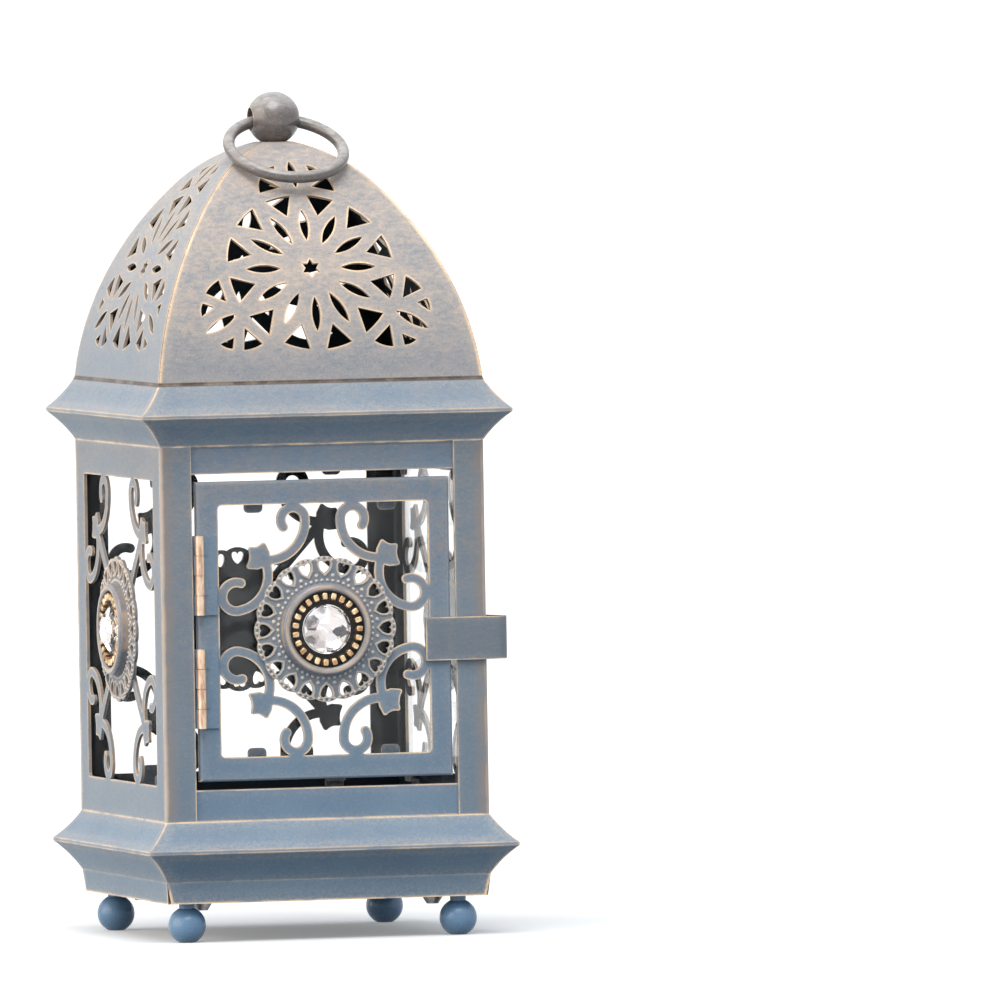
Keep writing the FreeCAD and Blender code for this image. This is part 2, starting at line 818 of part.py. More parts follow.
def on_dome(degrees, inset):
    """Half-width and height where the dome leans by so many degrees."""
    centre, radius = (low_arc, dome_low_r) if degrees < dome_turn_deg else (high_arc, dome_high_r)
    step = polar(radius - inset, degrees)
    return (centre[0] + step[0], centre[1] + step[1])


def dome_lean_at(rise):
    """Lean of the dome at a distance up the sheet from its foot."""
    if rise < low_length:
        return dome_lean_deg + math.degrees(rise / dome_low_r)
    return dome_turn_deg + math.degrees((rise - low_length) / dome_high_r)


def dome_outline(inset, end_lean):
    """Right side of the dome: two arcs that meet without a kink."""
    foot = on_dome(dome_lean_deg, inset)
    knee = on_dome(dome_turn_deg, inset)
    top = on_dome(end_lean, inset)
    return [
        arc(foot, on_dome((dome_lean_deg + dome_turn_deg) / 2, inset), knee),
        arc(knee, on_dome((dome_turn_deg + end_lean) / 2, inset), top),
    ]


def dome_inside(inset):
    """Room under the dome's sheet, carried down a little past its foot."""
    end_lean = math.degrees(math.acos((finial_screw_r - high_arc[0]) / (dome_high_r - inset)))
    foot = on_dome(dome_lean_deg, inset)
    below = line((foot[0], foot[1] - sheet), foot)
    return four_sided([below] + dome_outline(inset, end_lean))


def petal(inner, outer, width, degrees):
    start = polar(inner, degrees)
    end = polar(outer, degrees)
    return [bowed(start, end, width / 2), bowed(end, start, width / 2)]


def wedge(degrees):
    apex = polar(wedge_in, degrees)
    right = polar(wedge_out, degrees - wedge_half_deg)
    left = polar(wedge_out, degrees + wedge_half_deg)
    return [line(apex, right), arc(right, polar(wedge_out, degrees), left), line(left, apex)]


def spray(degrees):
    """Petal with a fan and a chip on each side of it, beyond the rosette."""
    cuts = [petal(spray_in, spray_out, petal_width, degrees)]
    for side in (-1, 1):
        far = polar(fan_in, degrees + side * fan_far_deg)
        tip = polar(fan_out, degrees + side * fan_tip_deg)
        near = polar(fan_in, degrees + side * fan_near_deg)
        cuts.append([bowed(far, tip, side * rim_bow), line(tip, near), line(near, far)])
        root = polar(chip_in, degrees + side * chip_root_deg)
        corner = polar(chip_mid, degrees + side * chip_far_deg)
        end = polar(chip_out, degrees + side * chip_near_deg)
        cuts.append([line(root, corner), bowed(corner, end, side * rim_bow), line(end, root)])
    return cuts


def star():
    points = []
    for k in range(star_points):
        points.append(polar(star_r, 90 + 360 * k / star_points))
        points.append(polar(star_notch_r, 90 + 360 * (k + 0.5) / star_points))
    return loop(points)


def rosette():
    """Every cut-out of one dome panel, on the unrolled sheet about the star."""
    step = 360 / rosette_folds
    cuts = [star()]
    for k in range(rosette_folds):
        cuts.append(petal(petal_in, petal_out, petal_width, k * step))
        cuts.append(wedge((k + 0.5) * step))
    for degrees in spray_deg:
        cuts += spray(degrees)
    return cuts


def sheet_cutter(edges):
    """Cutter square to the dome's sheet at the middle of one cut-out."""
    outline = Part.Wire(Part.__sortEdges__(edges))
    middle = (outline.BoundBox.ZMin + outline.BoundBox.ZMax) / 2
    lean = dome_lean_at(rosette_rise + middle)
    half_width, height = on_dome(lean, 0)
    depth = 3 * sheet
    cutter = moved(prism(edges, -depth, depth), 0, 0, -middle)
    cutter.rotate(ORIGIN, ALONG_X, -lean)
    return moved(cutter, 0, -half_width, height)


def dome_panel():
    """Front panel of the dome, mitred against its neighbours."""
    outside = four_sided(dome_outline(0, crown_lean))
    shell = outside.cut([dome_inside(sheet), rod(finial_screw_r + screw_fit, 0, 0, z_dome, z_crown)])
    apex = -seam / math.sqrt(2)
    base = apex - far_out
    low = z_dome - sheet
    plan = flat_face([V(0, apex, low), V(-far_out, base, low), V(far_out, base, low)])
    sector = plan.extrude(V(0, 0, z_crown - z_dome + 2 * sheet))
    return shell.common(sector).cut([sheet_cutter(cut) for cut in rosette()])


# Top of the roof
z_ball = z_crown + ball_seat
z_hole = z_ball - hole_drop
z_ring = z_hole - ring_low
hole_half = math.sqrt(ball_r ** 2 - (2 * ring_wire) ** 2)
ring_sag = ring_r - math.sqrt(ring_r ** 2 - hole_half ** 2)
ring_hole_r = ring_wire + ring_sag / 2 + ring_low + clear
ring_arm = ring_r - ring_sag / 2
z_thread = z_hole - ring_hole_r - sheet / 2


def crown_plate():
    top = z_crown - crown_drop
    plate = dome_inside(sheet + seam).common(slab(top - crown_sheet, top))
    return plate.cut(rod(finial_screw_r + screw_fit, 0, 0, top - crown_sheet, top))


def finial_screw():
    seat = z_crown - crown_drop - crown_sheet
    head = rod(finial_head_r, 0, 0, seat - finial_head_height, seat)
    return head.fuse(rod(finial_screw_r, 0, 0, seat, z_thread)).removeSplitter()


def finial_ball():
    ball = Part.makeSphere(ball_r, V(0, 0, z_ball)).common(slab(z_crown, z_ball + 2 * ball_r))
    cross = Part.makeCylinder(ring_hole_r, 4 * ball_r, V(-2 * ball_r, 0, z_hole), ALONG_X)
    thread = rod(finial_screw_r + screw_fit, 0, 0, z_crown, z_thread + screw_fit)
    return ball.cut([cross, thread])


def ring_room(droop):
    """Least gap between the hanging ring and the dome, on points round the ring."""
    least = ring_r
    leaves_ball = math.ceil(math.degrees(math.asin(ball_r / ring_r)))
    for turn in range(leaves_ball, 181):
        x, along = polar(ring_r, 90 + turn)
        reach = ring_arm - along
        y, drop = polar(reach, droop)
        half_width = max(abs(x), abs(y))
        height = z_ring - drop
        lean = math.degrees(math.atan2(height - high_arc[1], half_width - high_arc[0]))
        centre, radius = (high_arc, dome_high_r) if lean > dome_turn_deg else (low_arc, dome_low_r)
        gap = math.hypot(half_width - centre[0], height - centre[1]) - radius - ring_wire
        least = min(least, gap)
    return least


def ring_droop():
    """Angle below level at which the ring comes to lie on the dome."""
    level = 0
    steep = 90
    while steep - level > ring_rest_deg:
        middle = (level + steep) / 2
        if ring_room(middle) > clear:
            level = middle
        else:
            steep = middle
    return level


def carry_ring(droop):
    y, drop = polar(ring_arm, droop)
    across, upright = polar(1, droop)
    return Part.makeTorus(ring_r, ring_wire, V(0, -y, z_ring - drop), V(0, upright, -across))


# Assembly
def build():
    sides = {"left": -90, "right": 90, "back": 180}
    foot_half = body_half - foot_inset
    nodes = {
        "base_moulding": base_moulding(),
        "base_plate": base_plate(),
        "base_screws": base_screws(),
        "candle_floor": candle_floor(),
        "foot_front_left": ball_foot(-foot_half, -foot_half),
        "foot_front_right": ball_foot(foot_half, -foot_half),
        "foot_back_left": ball_foot(-foot_half, foot_half),
        "foot_back_right": ball_foot(foot_half, foot_half),
        "front_top_rail": front_rail(z_eave - top_rail, z_eave, z_eave - top_rail),
        "front_bottom_rail": front_rail(z_body, z_body + bottom_rail, z_body + bottom_rail - sheet),
        "door_panel": door_panel(),
        "door_glass": glass_pane(door_window),
        "door_glass_tabs": glass_tabs(door_window),
        "latch_clip": latch_clip(),
        "roof_cornice": roof_cornice(),
        "crown_plate": crown_plate(),
        "finial_ball": finial_ball(),
        "finial_screw": finial_screw(),
    }
    left = turned(side_panel(), sides["left"])
    post = front_post()
    nodes["left_panel"] = left
    nodes["right_panel"] = left.mirror(ORIGIN, ALONG_X)
    nodes["left_post"] = post
    nodes["right_post"] = post.mirror(ORIGIN, ALONG_X)
    nodes["back_panel"] = turned(back_panel(), sides["back"])
    for side, angle in sides.items():
        nodes[side + "_glass"] = turned(glass_pane(side_window), angle)
        nodes[side + "_glass_tabs"] = turned(glass_tabs(side_window), angle)
    for piece, shape in medallion().items():
        nodes["door_" + piece] = moved(shape, door_window.x, front, door_window.z)
        for side, angle in sides.items():
            on_front = moved(shape, side_window.x, front, side_window.z)
            nodes[side + "_" + piece] = turned(on_front, angle)
    for name, share in (("lower", hinge_low_share), ("upper", hinge_high_share)):
        middle = door_bottom + share * (door_top - door_bottom)
        nodes["hinge_" + name + "_frame_leaf"] = frame_leaf(middle)
        nodes["hinge_" + name + "_door_leaf"] = door_leaf(middle)
        nodes["hinge_" + name + "_pin"] = hinge_pin(middle)
    panel = dome_panel()
    nodes["dome_panel_front"] = panel
    for side, angle in sides.items():
        nodes["dome_panel_" + side] = turned(panel, angle)
    droop = ring_droop()
    nodes["carry_ring"] = carry_ring(droop)
    print("hinge axis", hinge_x, hinge_y, "ring axis height", z_ring, "ring droop", droop)
    return nodes


os.makedirs("parts", exist_ok=True)
for name, shape in build().items():
    print(name, len(shape.Solids), round(shape.Volume, 2), shape.isValid())
    shape.exportStep("parts/" + name + ".step")
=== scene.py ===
# %% [markdown]
# Candle lantern: the frame
#
# The solids of the lantern come from its CAD model, already in metres and already in place. Loading them
# first means that nothing here has to be measured again: the finishes go on the solids, and the few pieces
# that are added find their places by asking for the box of the solid that carries them.

# %% Load the frame
import json
import math

import bmesh
import bpy
from mathutils import Matrix, Vector


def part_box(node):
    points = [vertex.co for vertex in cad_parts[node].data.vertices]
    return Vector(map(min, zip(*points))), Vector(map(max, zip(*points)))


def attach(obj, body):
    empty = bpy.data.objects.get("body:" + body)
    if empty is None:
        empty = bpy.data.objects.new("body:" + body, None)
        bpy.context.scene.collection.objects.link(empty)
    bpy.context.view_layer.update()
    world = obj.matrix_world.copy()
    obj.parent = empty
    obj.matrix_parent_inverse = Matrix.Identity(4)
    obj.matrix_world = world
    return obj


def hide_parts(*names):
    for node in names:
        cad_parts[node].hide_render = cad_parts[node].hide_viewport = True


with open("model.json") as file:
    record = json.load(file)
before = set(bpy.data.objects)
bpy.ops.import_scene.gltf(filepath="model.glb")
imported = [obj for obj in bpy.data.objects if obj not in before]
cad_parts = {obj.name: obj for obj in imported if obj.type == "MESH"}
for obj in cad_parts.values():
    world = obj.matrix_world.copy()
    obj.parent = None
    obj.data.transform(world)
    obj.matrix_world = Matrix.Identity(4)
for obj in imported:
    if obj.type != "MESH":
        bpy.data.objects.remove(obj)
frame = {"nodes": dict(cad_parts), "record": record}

scene = bpy.context.scene
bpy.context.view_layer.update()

# %% [markdown]
# Camera
#
# The picture was taken from a little to the left of the door and just above its middle, with almost no
# perspective: the upright edges stay parallel. A very long lens far away gives that. The camera is first
# turned to look straight at a point in the middle of the body, with the slight tilt of the picture. The
# lantern stands left of the middle of the picture, so the camera is then swung a fraction of a degree,
# which moves the lantern in the frame without stretching it as a lens shift would.

# %% Camera
PICTURE = 1001
FOCAL_PIXELS = 26335
DISTANCE = 6.635
AIM = Vector((0, 0, 0.077))
AIM_PIXEL = (281.69, 626.86)
side_turn, rise, tilt = math.radians(-14.98), math.radians(2.217), math.radians(0.9645)

right = Vector((math.cos(side_turn), math.sin(side_turn), 0))
back = Vector((math.sin(side_turn) * math.cos(rise), -math.cos(side_turn) * math.cos(rise), math.sin(rise)))
up = back.cross(right)
tilted_right = right * math.cos(tilt) - up * math.sin(tilt)
tilted_up = right * math.sin(tilt) + up * math.cos(tilt)
looking = Matrix((tilted_right, tilted_up, back)).transposed()
aim_ray = Vector((AIM_PIXEL[0] - PICTURE / 2, PICTURE / 2 - AIM_PIXEL[1], -FOCAL_PIXELS))
swing = aim_ray.rotation_difference(Vector((0, 0, -1))).to_matrix()

lens = bpy.data.cameras.new("camera")
lens.sensor_fit = "HORIZONTAL"
lens.sensor_width = 36
lens.lens = lens.sensor_width * FOCAL_PIXELS / PICTURE
camera = bpy.data.objects.new("camera", lens)
camera.matrix_world = Matrix.Translation(AIM + back * DISTANCE) @ (looking @ swing).to_4x4()
scene.collection.objects.link(camera)
scene.camera = camera
print("camera at", [round(c, 3) for c in camera.location], "lens", round(lens.lens), "mm")

# %% [markdown]
# Nodes without the clutter
#
# Every finish below is a small tree of shader nodes. Such trees are often drawn by hand in the editor, but
# in a script they can be read line by line. Short helpers keep them readable: one adds a node and fills its
# inputs with numbers or with other nodes' outputs, and the others do arithmetic, stretch a value, mix two
# colours, make noise or start a node group. Colours are written as they look on the screen, from 0 to 255,
# and turned into the linear values that the renderer works with.

# %% Helpers for node trees
def tone(red, green, blue):
    """A screen colour as linear light."""
    def linear(value):
        share = value / 255
        return share / 12.92 if share <= 0.04045 else ((share + 0.055) / 1.055) ** 2.4
    return (linear(red), linear(green), linear(blue), 1)


def add(tree, kind, inputs=None, **settings):
    """Adds a node; its inputs are numbers, colours or sockets of other nodes."""
    made = tree.nodes.new(kind)
    for key, value in settings.items():
        setattr(made, key, value)
    for key, value in (inputs or {}).items():
        if isinstance(value, bpy.types.NodeSocket):
            tree.links.new(value, made.inputs[key])
        else:
            made.inputs[key].default_value = value
    return made


def calc(tree, operation, first, second=0.0, clamp=False):
    return add(tree, "ShaderNodeMath", {0: first, 1: second}, operation=operation, use_clamp=clamp).outputs[0]


def ramp(tree, value, low, high, low_out=0.0, high_out=1.0):
    """Stretches a value between two marks, smoothly, and holds it outside them."""
    inputs = {"Value": value, "From Min": low, "From Max": high, "To Min": low_out, "To Max": high_out}
    return add(tree, "ShaderNodeMapRange", inputs, interpolation_type="SMOOTHSTEP").outputs[0]


def blend(tree, share, first, second):
    inputs = {0: share, 6: first, 7: second}
    return add(tree, "ShaderNodeMix", inputs, data_type="RGBA").outputs[2]


def noise(tree, place, scale, detail=3.0, rough=0.55):
    inputs = {"Vector": place, "Scale": scale, "Detail": detail, "Roughness": rough}
    return add(tree, "ShaderNodeTexNoise", inputs).outputs[0]


def new_group(name, inputs, outputs):
    """An empty shader node group with named sockets, each given as name, kind and first value."""
    tree = bpy.data.node_groups.new(name, "ShaderNodeTree")
    for title, kind, value in inputs:
        tree.interface.new_socket(title, in_out="INPUT", socket_type=kind).default_value = value
    for title, kind in outputs:
        tree.interface.new_socket(title, in_out="OUTPUT", socket_type=kind)
    return tree, tree.nodes.new("NodeGroupInput").outputs, tree.nodes.new("NodeGroupOutput").inputs


FLOAT, COLOUR = "NodeSocketFloat", "NodeSocketColor"
print("helpers ready")

# %% [markdown]
# Edges rubbed to copper
#
# The blue-grey paint was rubbed back by hand on every corner, ridge and cut edge, so a warm copper gold
# shows there in lines that come and go. A bright line could be modelled as a thin strip, but the edges are
# everywhere. The Bevel node finds them instead: near an edge its rounded normal leans away from the true
# normal, and the lean is the mask. Noise then breaks the line up. As a group, every paint can use it with
# its own width.

# %% Group: rubbed edges
rub_group, rub_in, rub_out = new_group(
    "rubbed_edges",
    [("Width", FLOAT, 0.001), ("Strength", FLOAT, 1.0), ("Breaks", FLOAT, 120.0)],
    [("Mask", FLOAT)],
)
place = add(rub_group, "ShaderNodeTexCoord").outputs["Object"]
LEAN_GAIN = 8.0
rounded = add(rub_group, "ShaderNodeBevel", {"Radius": rub_in["Width"]}, samples=8).outputs[0]
true_normal = add(rub_group, "ShaderNodeNewGeometry").outputs["Normal"]
agree = add(rub_group, "ShaderNodeVectorMath", {0: rounded, 1: true_normal}, operation="DOT_PRODUCT")
lean = calc(rub_group, "SUBTRACT", 1.0, agree.outputs["Value"])
lean = calc(rub_group, "MULTIPLY", lean, LEAN_GAIN, clamp=True)
gaps = noise(rub_group, place, scale=rub_in["Breaks"], detail=4.0, rough=0.6)
worn = ramp(rub_group, gaps, 0.34, 0.62, 0.3, 1.0)
line = calc(rub_group, "MULTIPLY", calc(rub_group, "MULTIPLY", lean, worn), rub_in["Strength"], clamp=True)
rub_group.links.new(line, rub_out["Mask"])
print("group", rub_group.name, len(rub_group.nodes), "nodes")

# %% [markdown]
# Mottled paint
#
# The flat faces are not one colour. Broad soft clouds drift between slate blue and a warmer grey, finer
# blotches sit in them, and a dust of pale specks lies over everything. A painted image could show this, but
# it needs unwrapped faces and blurs close up. Noises of several sizes have neither trouble. The sizes are
# in marks per metre on Object coordinates, so the clouds are the same size on a small part as on a large
# one. A Mapping node squeezes the warm ones upright, because the brush went round the lantern. The lantern
# also gets warmer towards its top, so two heights say where that begins and ends.

# %% Group: mottled paint
mottle_group, mottle_in, mottle_out = new_group(
    "mottled_paint",
    [("Paint", COLOUR, tone(140, 157, 174)), ("Cloud", COLOUR, tone(120, 142, 166)),
     ("Warm", COLOUR, tone(190, 168, 150)), ("Warmth", FLOAT, 0.3), ("Specks", FLOAT, 0.3),
     ("Cool Below", FLOAT, 0.02), ("Warm Above", FLOAT, 0.13)],
    [("Color", COLOUR), ("Grain", FLOAT)],
)
place = add(mottle_group, "ShaderNodeTexCoord").outputs["Object"]
height = add(mottle_group, "ShaderNodeSeparateXYZ", {0: place}).outputs[2]
raised = ramp(mottle_group, height, mottle_in["Cool Below"], mottle_in["Warm Above"], 0.25, 1.0)
strokes = add(mottle_group, "ShaderNodeMapping", {"Vector": place, "Scale": (1, 1, 2.4)}).outputs[0]
clouds = ramp(mottle_group, noise(mottle_group, place, scale=45.0), 0.3, 0.72)
blotches = ramp(mottle_group, noise(mottle_group, strokes, scale=420.0, detail=6.0, rough=0.75), 0.32, 0.72)
haze = ramp(mottle_group, noise(mottle_group, strokes, scale=48.0, detail=6.0, rough=0.72), 0.28, 0.74)
grain = noise(mottle_group, place, scale=2200.0, rough=0.65)
painted = blend(mottle_group, clouds, mottle_in["Paint"], mottle_in["Cloud"])
patchy = calc(mottle_group, "ADD", calc(mottle_group, "MULTIPLY", haze, 0.4),
              calc(mottle_group, "MULTIPLY", blotches, 0.6))
warm_share = calc(mottle_group, "MULTIPLY", patchy, raised)
warm_share = calc(mottle_group, "MULTIPLY", warm_share, mottle_in["Warmth"])
painted = blend(mottle_group, warm_share, painted, mottle_in["Warm"])
speck_share = calc(mottle_group, "MULTIPLY", ramp(mottle_group, grain, 0.54, 0.72), mottle_in["Specks"])
painted = blend(mottle_group, speck_share, painted, tone(222, 205, 186))
pit_share = calc(mottle_group, "MULTIPLY", ramp(mottle_group, grain, 0.44, 0.28), mottle_in["Specks"])
painted = blend(mottle_group, pit_share, painted, tone(70, 86, 104))
mottle_group.links.new(painted, mottle_out["Color"])
mottle_group.links.new(grain, mottle_out["Grain"])
print("group", mottle_group.name, len(mottle_group.nodes), "nodes")

# %% [markdown]
# Painted shade of the inside
#
# Seen through the cut-outs, the inner faces of the sheets lie in shadow and look almost black, so that
# shade is painted on them as a near black. The outer and inner face of a sheet belong to one closed solid,
# so the finish has to tell them apart, and Backfacing can't, because both are front faces. The lantern is
# square: on each side, a face looks outwards if its normal points the same way as the side lies from the
# middle. The comparison uses Object coordinates and the object's own normal, so it stays right when the
# door swings. On the dome the normals also lean upwards, so the upward part can be counted in.

# %% Group: painted shade of the inside
inside_shade_group, inside_shade_in, inside_shade_out = new_group(
    "shaded_inside", [("Upward", FLOAT, 0.0)], [("Mask", FLOAT)],
)
coords = add(inside_shade_group, "ShaderNodeTexCoord")
spot = add(inside_shade_group, "ShaderNodeSeparateXYZ", {0: coords.outputs["Object"]}).outputs
facing = add(inside_shade_group, "ShaderNodeSeparateXYZ", {0: coords.outputs["Normal"]}).outputs
outward_x = calc(inside_shade_group, "MULTIPLY", facing[0], calc(inside_shade_group, "SIGN", spot[0]))
outward_y = calc(inside_shade_group, "MULTIPLY", facing[1], calc(inside_shade_group, "SIGN", spot[1]))
on_x_side = calc(inside_shade_group, "GREATER_THAN",
                 calc(inside_shade_group, "ABSOLUTE", spot[0]), calc(inside_shade_group, "ABSOLUTE", spot[1]))
outward = add(inside_shade_group, "ShaderNodeMix", {0: on_x_side, 2: outward_y, 3: outward_x}).outputs[0]
outward = calc(inside_shade_group, "ADD", outward, calc(inside_shade_group, "MULTIPLY", facing[2], inside_shade_in["Upward"]))
inside_shade_group.links.new(ramp(inside_shade_group, outward, -0.4, -0.7), inside_shade_out["Mask"])
print("group", inside_shade_group.name, len(inside_shade_group.nodes), "nodes")

# %% [markdown]
# Pale upper slopes: dust, and painted light on the finial
#
# The slopes that look upwards took most of the dry brush, so they are paler and warmer than the upright
# faces. On the ball and ring of the finial the same mask is painted light: their tops are painted pale as if
# lit from above, over a dark paint that stands for the shade below. The upward part of the object's own
# normal is the mask, and noise makes it patchy. It would be simpler to light the slopes more, but then the
# colour would stay blue.

# %% Group: pale slopes
slope_group, slope_in, slope_out = new_group("pale_slopes", [("Strength", FLOAT, 0.4)], [("Mask", FLOAT)])
coords = add(slope_group, "ShaderNodeTexCoord")
upwards = add(slope_group, "ShaderNodeSeparateXYZ", {0: coords.outputs["Normal"]}).outputs[2]
streaks = add(slope_group, "ShaderNodeMapping", {"Vector": coords.outputs["Object"], "Scale": (1, 1, 3)})
streaky = noise(slope_group, streaks.outputs[0], scale=330.0, detail=6.0, rough=0.7)
patches = ramp(slope_group, streaky, 0.3, 0.68, 0.4, 1.0)
paled = calc(slope_group, "MULTIPLY", ramp(slope_group, upwards, 0.1, 0.75), patches)
slope_group.links.new(calc(slope_group, "MULTIPLY", paled, slope_in["Strength"]), slope_out["Mask"])
print("group", slope_group.name, len(slope_group.nodes), "nodes")

# %% [markdown]
# The folded corner: rubbed metal and a painted highlight
#
# The front corners of the body are folded, not cut, and the fold was rubbed right through to bright metal.
# Its bright line is also a painted highlight, the light that the round of the fold catches. A fold has no
# sharp edge, so the Bevel node finds nothing there. On a square body, x and y without their signs add up to
# most at the corner, and that sum makes the mask. It fades over half a millimetre and is a little uneven. A
# second, wider and softer mask is the brown that the rubbing left beside the bright line.

# %% Group: rubbed corner with painted highlight
corner_group, corner_in, corner_out = new_group(
    "corner_rub_and_highlight", [("Sum", FLOAT, 0.084)], [("Mask", FLOAT), ("Halo", FLOAT)],
)
place = add(corner_group, "ShaderNodeTexCoord").outputs["Object"]
spot = add(corner_group, "ShaderNodeSeparateXYZ", {0: place}).outputs
total = calc(corner_group, "ADD",
             calc(corner_group, "ABSOLUTE", spot[0]), calc(corner_group, "ABSOLUTE", spot[1]))
short = calc(corner_group, "SUBTRACT", corner_in["Sum"], total)
wander = noise(corner_group, place, scale=120.0, rough=0.5)
uneven = ramp(corner_group, wander, 0.3, 0.65, 0.0007, 0.0012)
band = calc(corner_group, "SUBTRACT", 1.0, calc(corner_group, "DIVIDE", short, uneven), clamp=True)
band = calc(corner_group, "MULTIPLY", band, 1.6, clamp=True)
corner_group.links.new(band, corner_out["Mask"])
patches = ramp(corner_group, wander, 0.3, 0.7, 0.3, 0.75)
halo = calc(corner_group, "MULTIPLY", ramp(corner_group, short, 0.0045, 0.0006), patches)
corner_group.links.new(halo, corner_out["Halo"])
CORNER_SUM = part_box("left_panel")[0].x * -2
print("group", corner_group.name, "corner sum", round(CORNER_SUM, 4))

# %% [markdown]
# The crest of a ring: rubbed copper and a painted highlight
#
# The raised ring round each stone is half round, and the cloth that rubbed it touched only its crest. The
# copper line there is also a painted highlight of the round crest. Pointiness could find a crest, but it
# changes with the fineness of the mesh. On the crest the surface looks straight out of its side of the
# lantern, so the larger of the sideways parts of the object's own normal is close to one. That works on all
# four sides without knowing where a ring sits.

# %% Group: rubbed crest with painted highlight
crest_group, crest_in, crest_out = new_group("crest_rub_and_highlight", [("Strength", FLOAT, 0.8)], [("Mask", FLOAT)])
coords = add(crest_group, "ShaderNodeTexCoord")
facing = add(crest_group, "ShaderNodeSeparateXYZ", {0: coords.outputs["Normal"]}).outputs
straight = calc(crest_group, "MAXIMUM",
                calc(crest_group, "ABSOLUTE", facing[0]), calc(crest_group, "ABSOLUTE", facing[1]))
gaps = noise(crest_group, coords.outputs["Object"], scale=160.0)
crest_breaks = ramp(crest_group, gaps, 0.3, 0.62, 0.35, 1.0)
crest = calc(crest_group, "MULTIPLY", ramp(crest_group, straight, 0.86, 0.97), crest_breaks)
crest_group.links.new(calc(crest_group, "MULTIPLY", crest, crest_in["Strength"]), crest_out["Mask"])
print("group", crest_group.name, len(crest_group.nodes), "nodes")

# %% [markdown]
# Painted shadow in the seam under the dome
#
# Where the dome stands on the cornice, the seam lies in shadow and shows as a dark brown line, so that
# shadow is painted into the colour. A thin dark strip could be modelled there, but it would stand proud of
# the dome. The height above the floor is enough to place the line in the paint, because the seam runs level
# all round.

# %% Group: painted seam shadow
seam_group, seam_in, seam_out = new_group("dark_seam", [("Height", FLOAT, 0.13)], [("Mask", FLOAT)])
place = add(seam_group, "ShaderNodeTexCoord").outputs["Object"]
level = add(seam_group, "ShaderNodeSeparateXYZ", {0: place}).outputs[2]
away = calc(seam_group, "ABSOLUTE", calc(seam_group, "SUBTRACT", level, seam_in["Height"]))
patches = noise(seam_group, place, scale=160.0, detail=4.0, rough=0.6)
broken_line = ramp(seam_group, patches, 0.3, 0.6, 0.75, 1.0)
seam_shade = calc(seam_group, "MULTIPLY", ramp(seam_group, away, 0.0007, 0.0003), broken_line)
seam_group.links.new(seam_shade, seam_out["Mask"])
DOME_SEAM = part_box("dome_panel_front")[0].z
print("group", seam_group.name, "seam at", round(DOME_SEAM, 4))

# %% [markdown]
# One recipe for all the paints
#
# Body, door, mouldings, dome, finial and feet share the recipe and differ in their values. The mottled
# colour comes first, and the pale slopes over it, which are dust and, on the finial, painted light. A dry
# brush also left dust near the edges, which is the edge group made wide and broken up finely. The rubbed
# copper lies over that. Then come the folded corner and the crest, which are rubbed metal with a painted
# highlight, and the seam with its painted shadow, where a piece has them. The painted shade of the inside
# comes last. Rubbed spots are smoother and partly metal. The grain that makes the specks also lifts the
# surface a few hundredths of a millimetre, which breaks up the gloss.

# %% Painted metal
# The inside colour, the bright fold colour and the seam colour are painted light: shade inside, a highlight
# on the fold, shadow in the seam.
COPPER, DUST, INSIDE_SHADE = tone(246, 214, 178), tone(222, 206, 190), tone(18, 29, 36)
BARE_AND_HIGHLIGHT, BROWN, SEAM_SHADOW = tone(204, 186, 172), tone(168, 148, 134), tone(92, 82, 76)
DUST_SPREAD, DUST_BREAKS = 4, 1100.0
RUBBED_METAL, RUBBED_SMOOTHER, ROUGH_DRIFT = 0.5, 0.18, 0.08
GRAIN_STRENGTH, GRAIN_LIFT = 0.25, 0.00006


def use(tree, group, inputs):
    return add(tree, "ShaderNodeGroup", inputs, node_tree=group).outputs


def three_tones(paint, cloud, warm):
    return tone(*paint), tone(*cloud), tone(*warm)


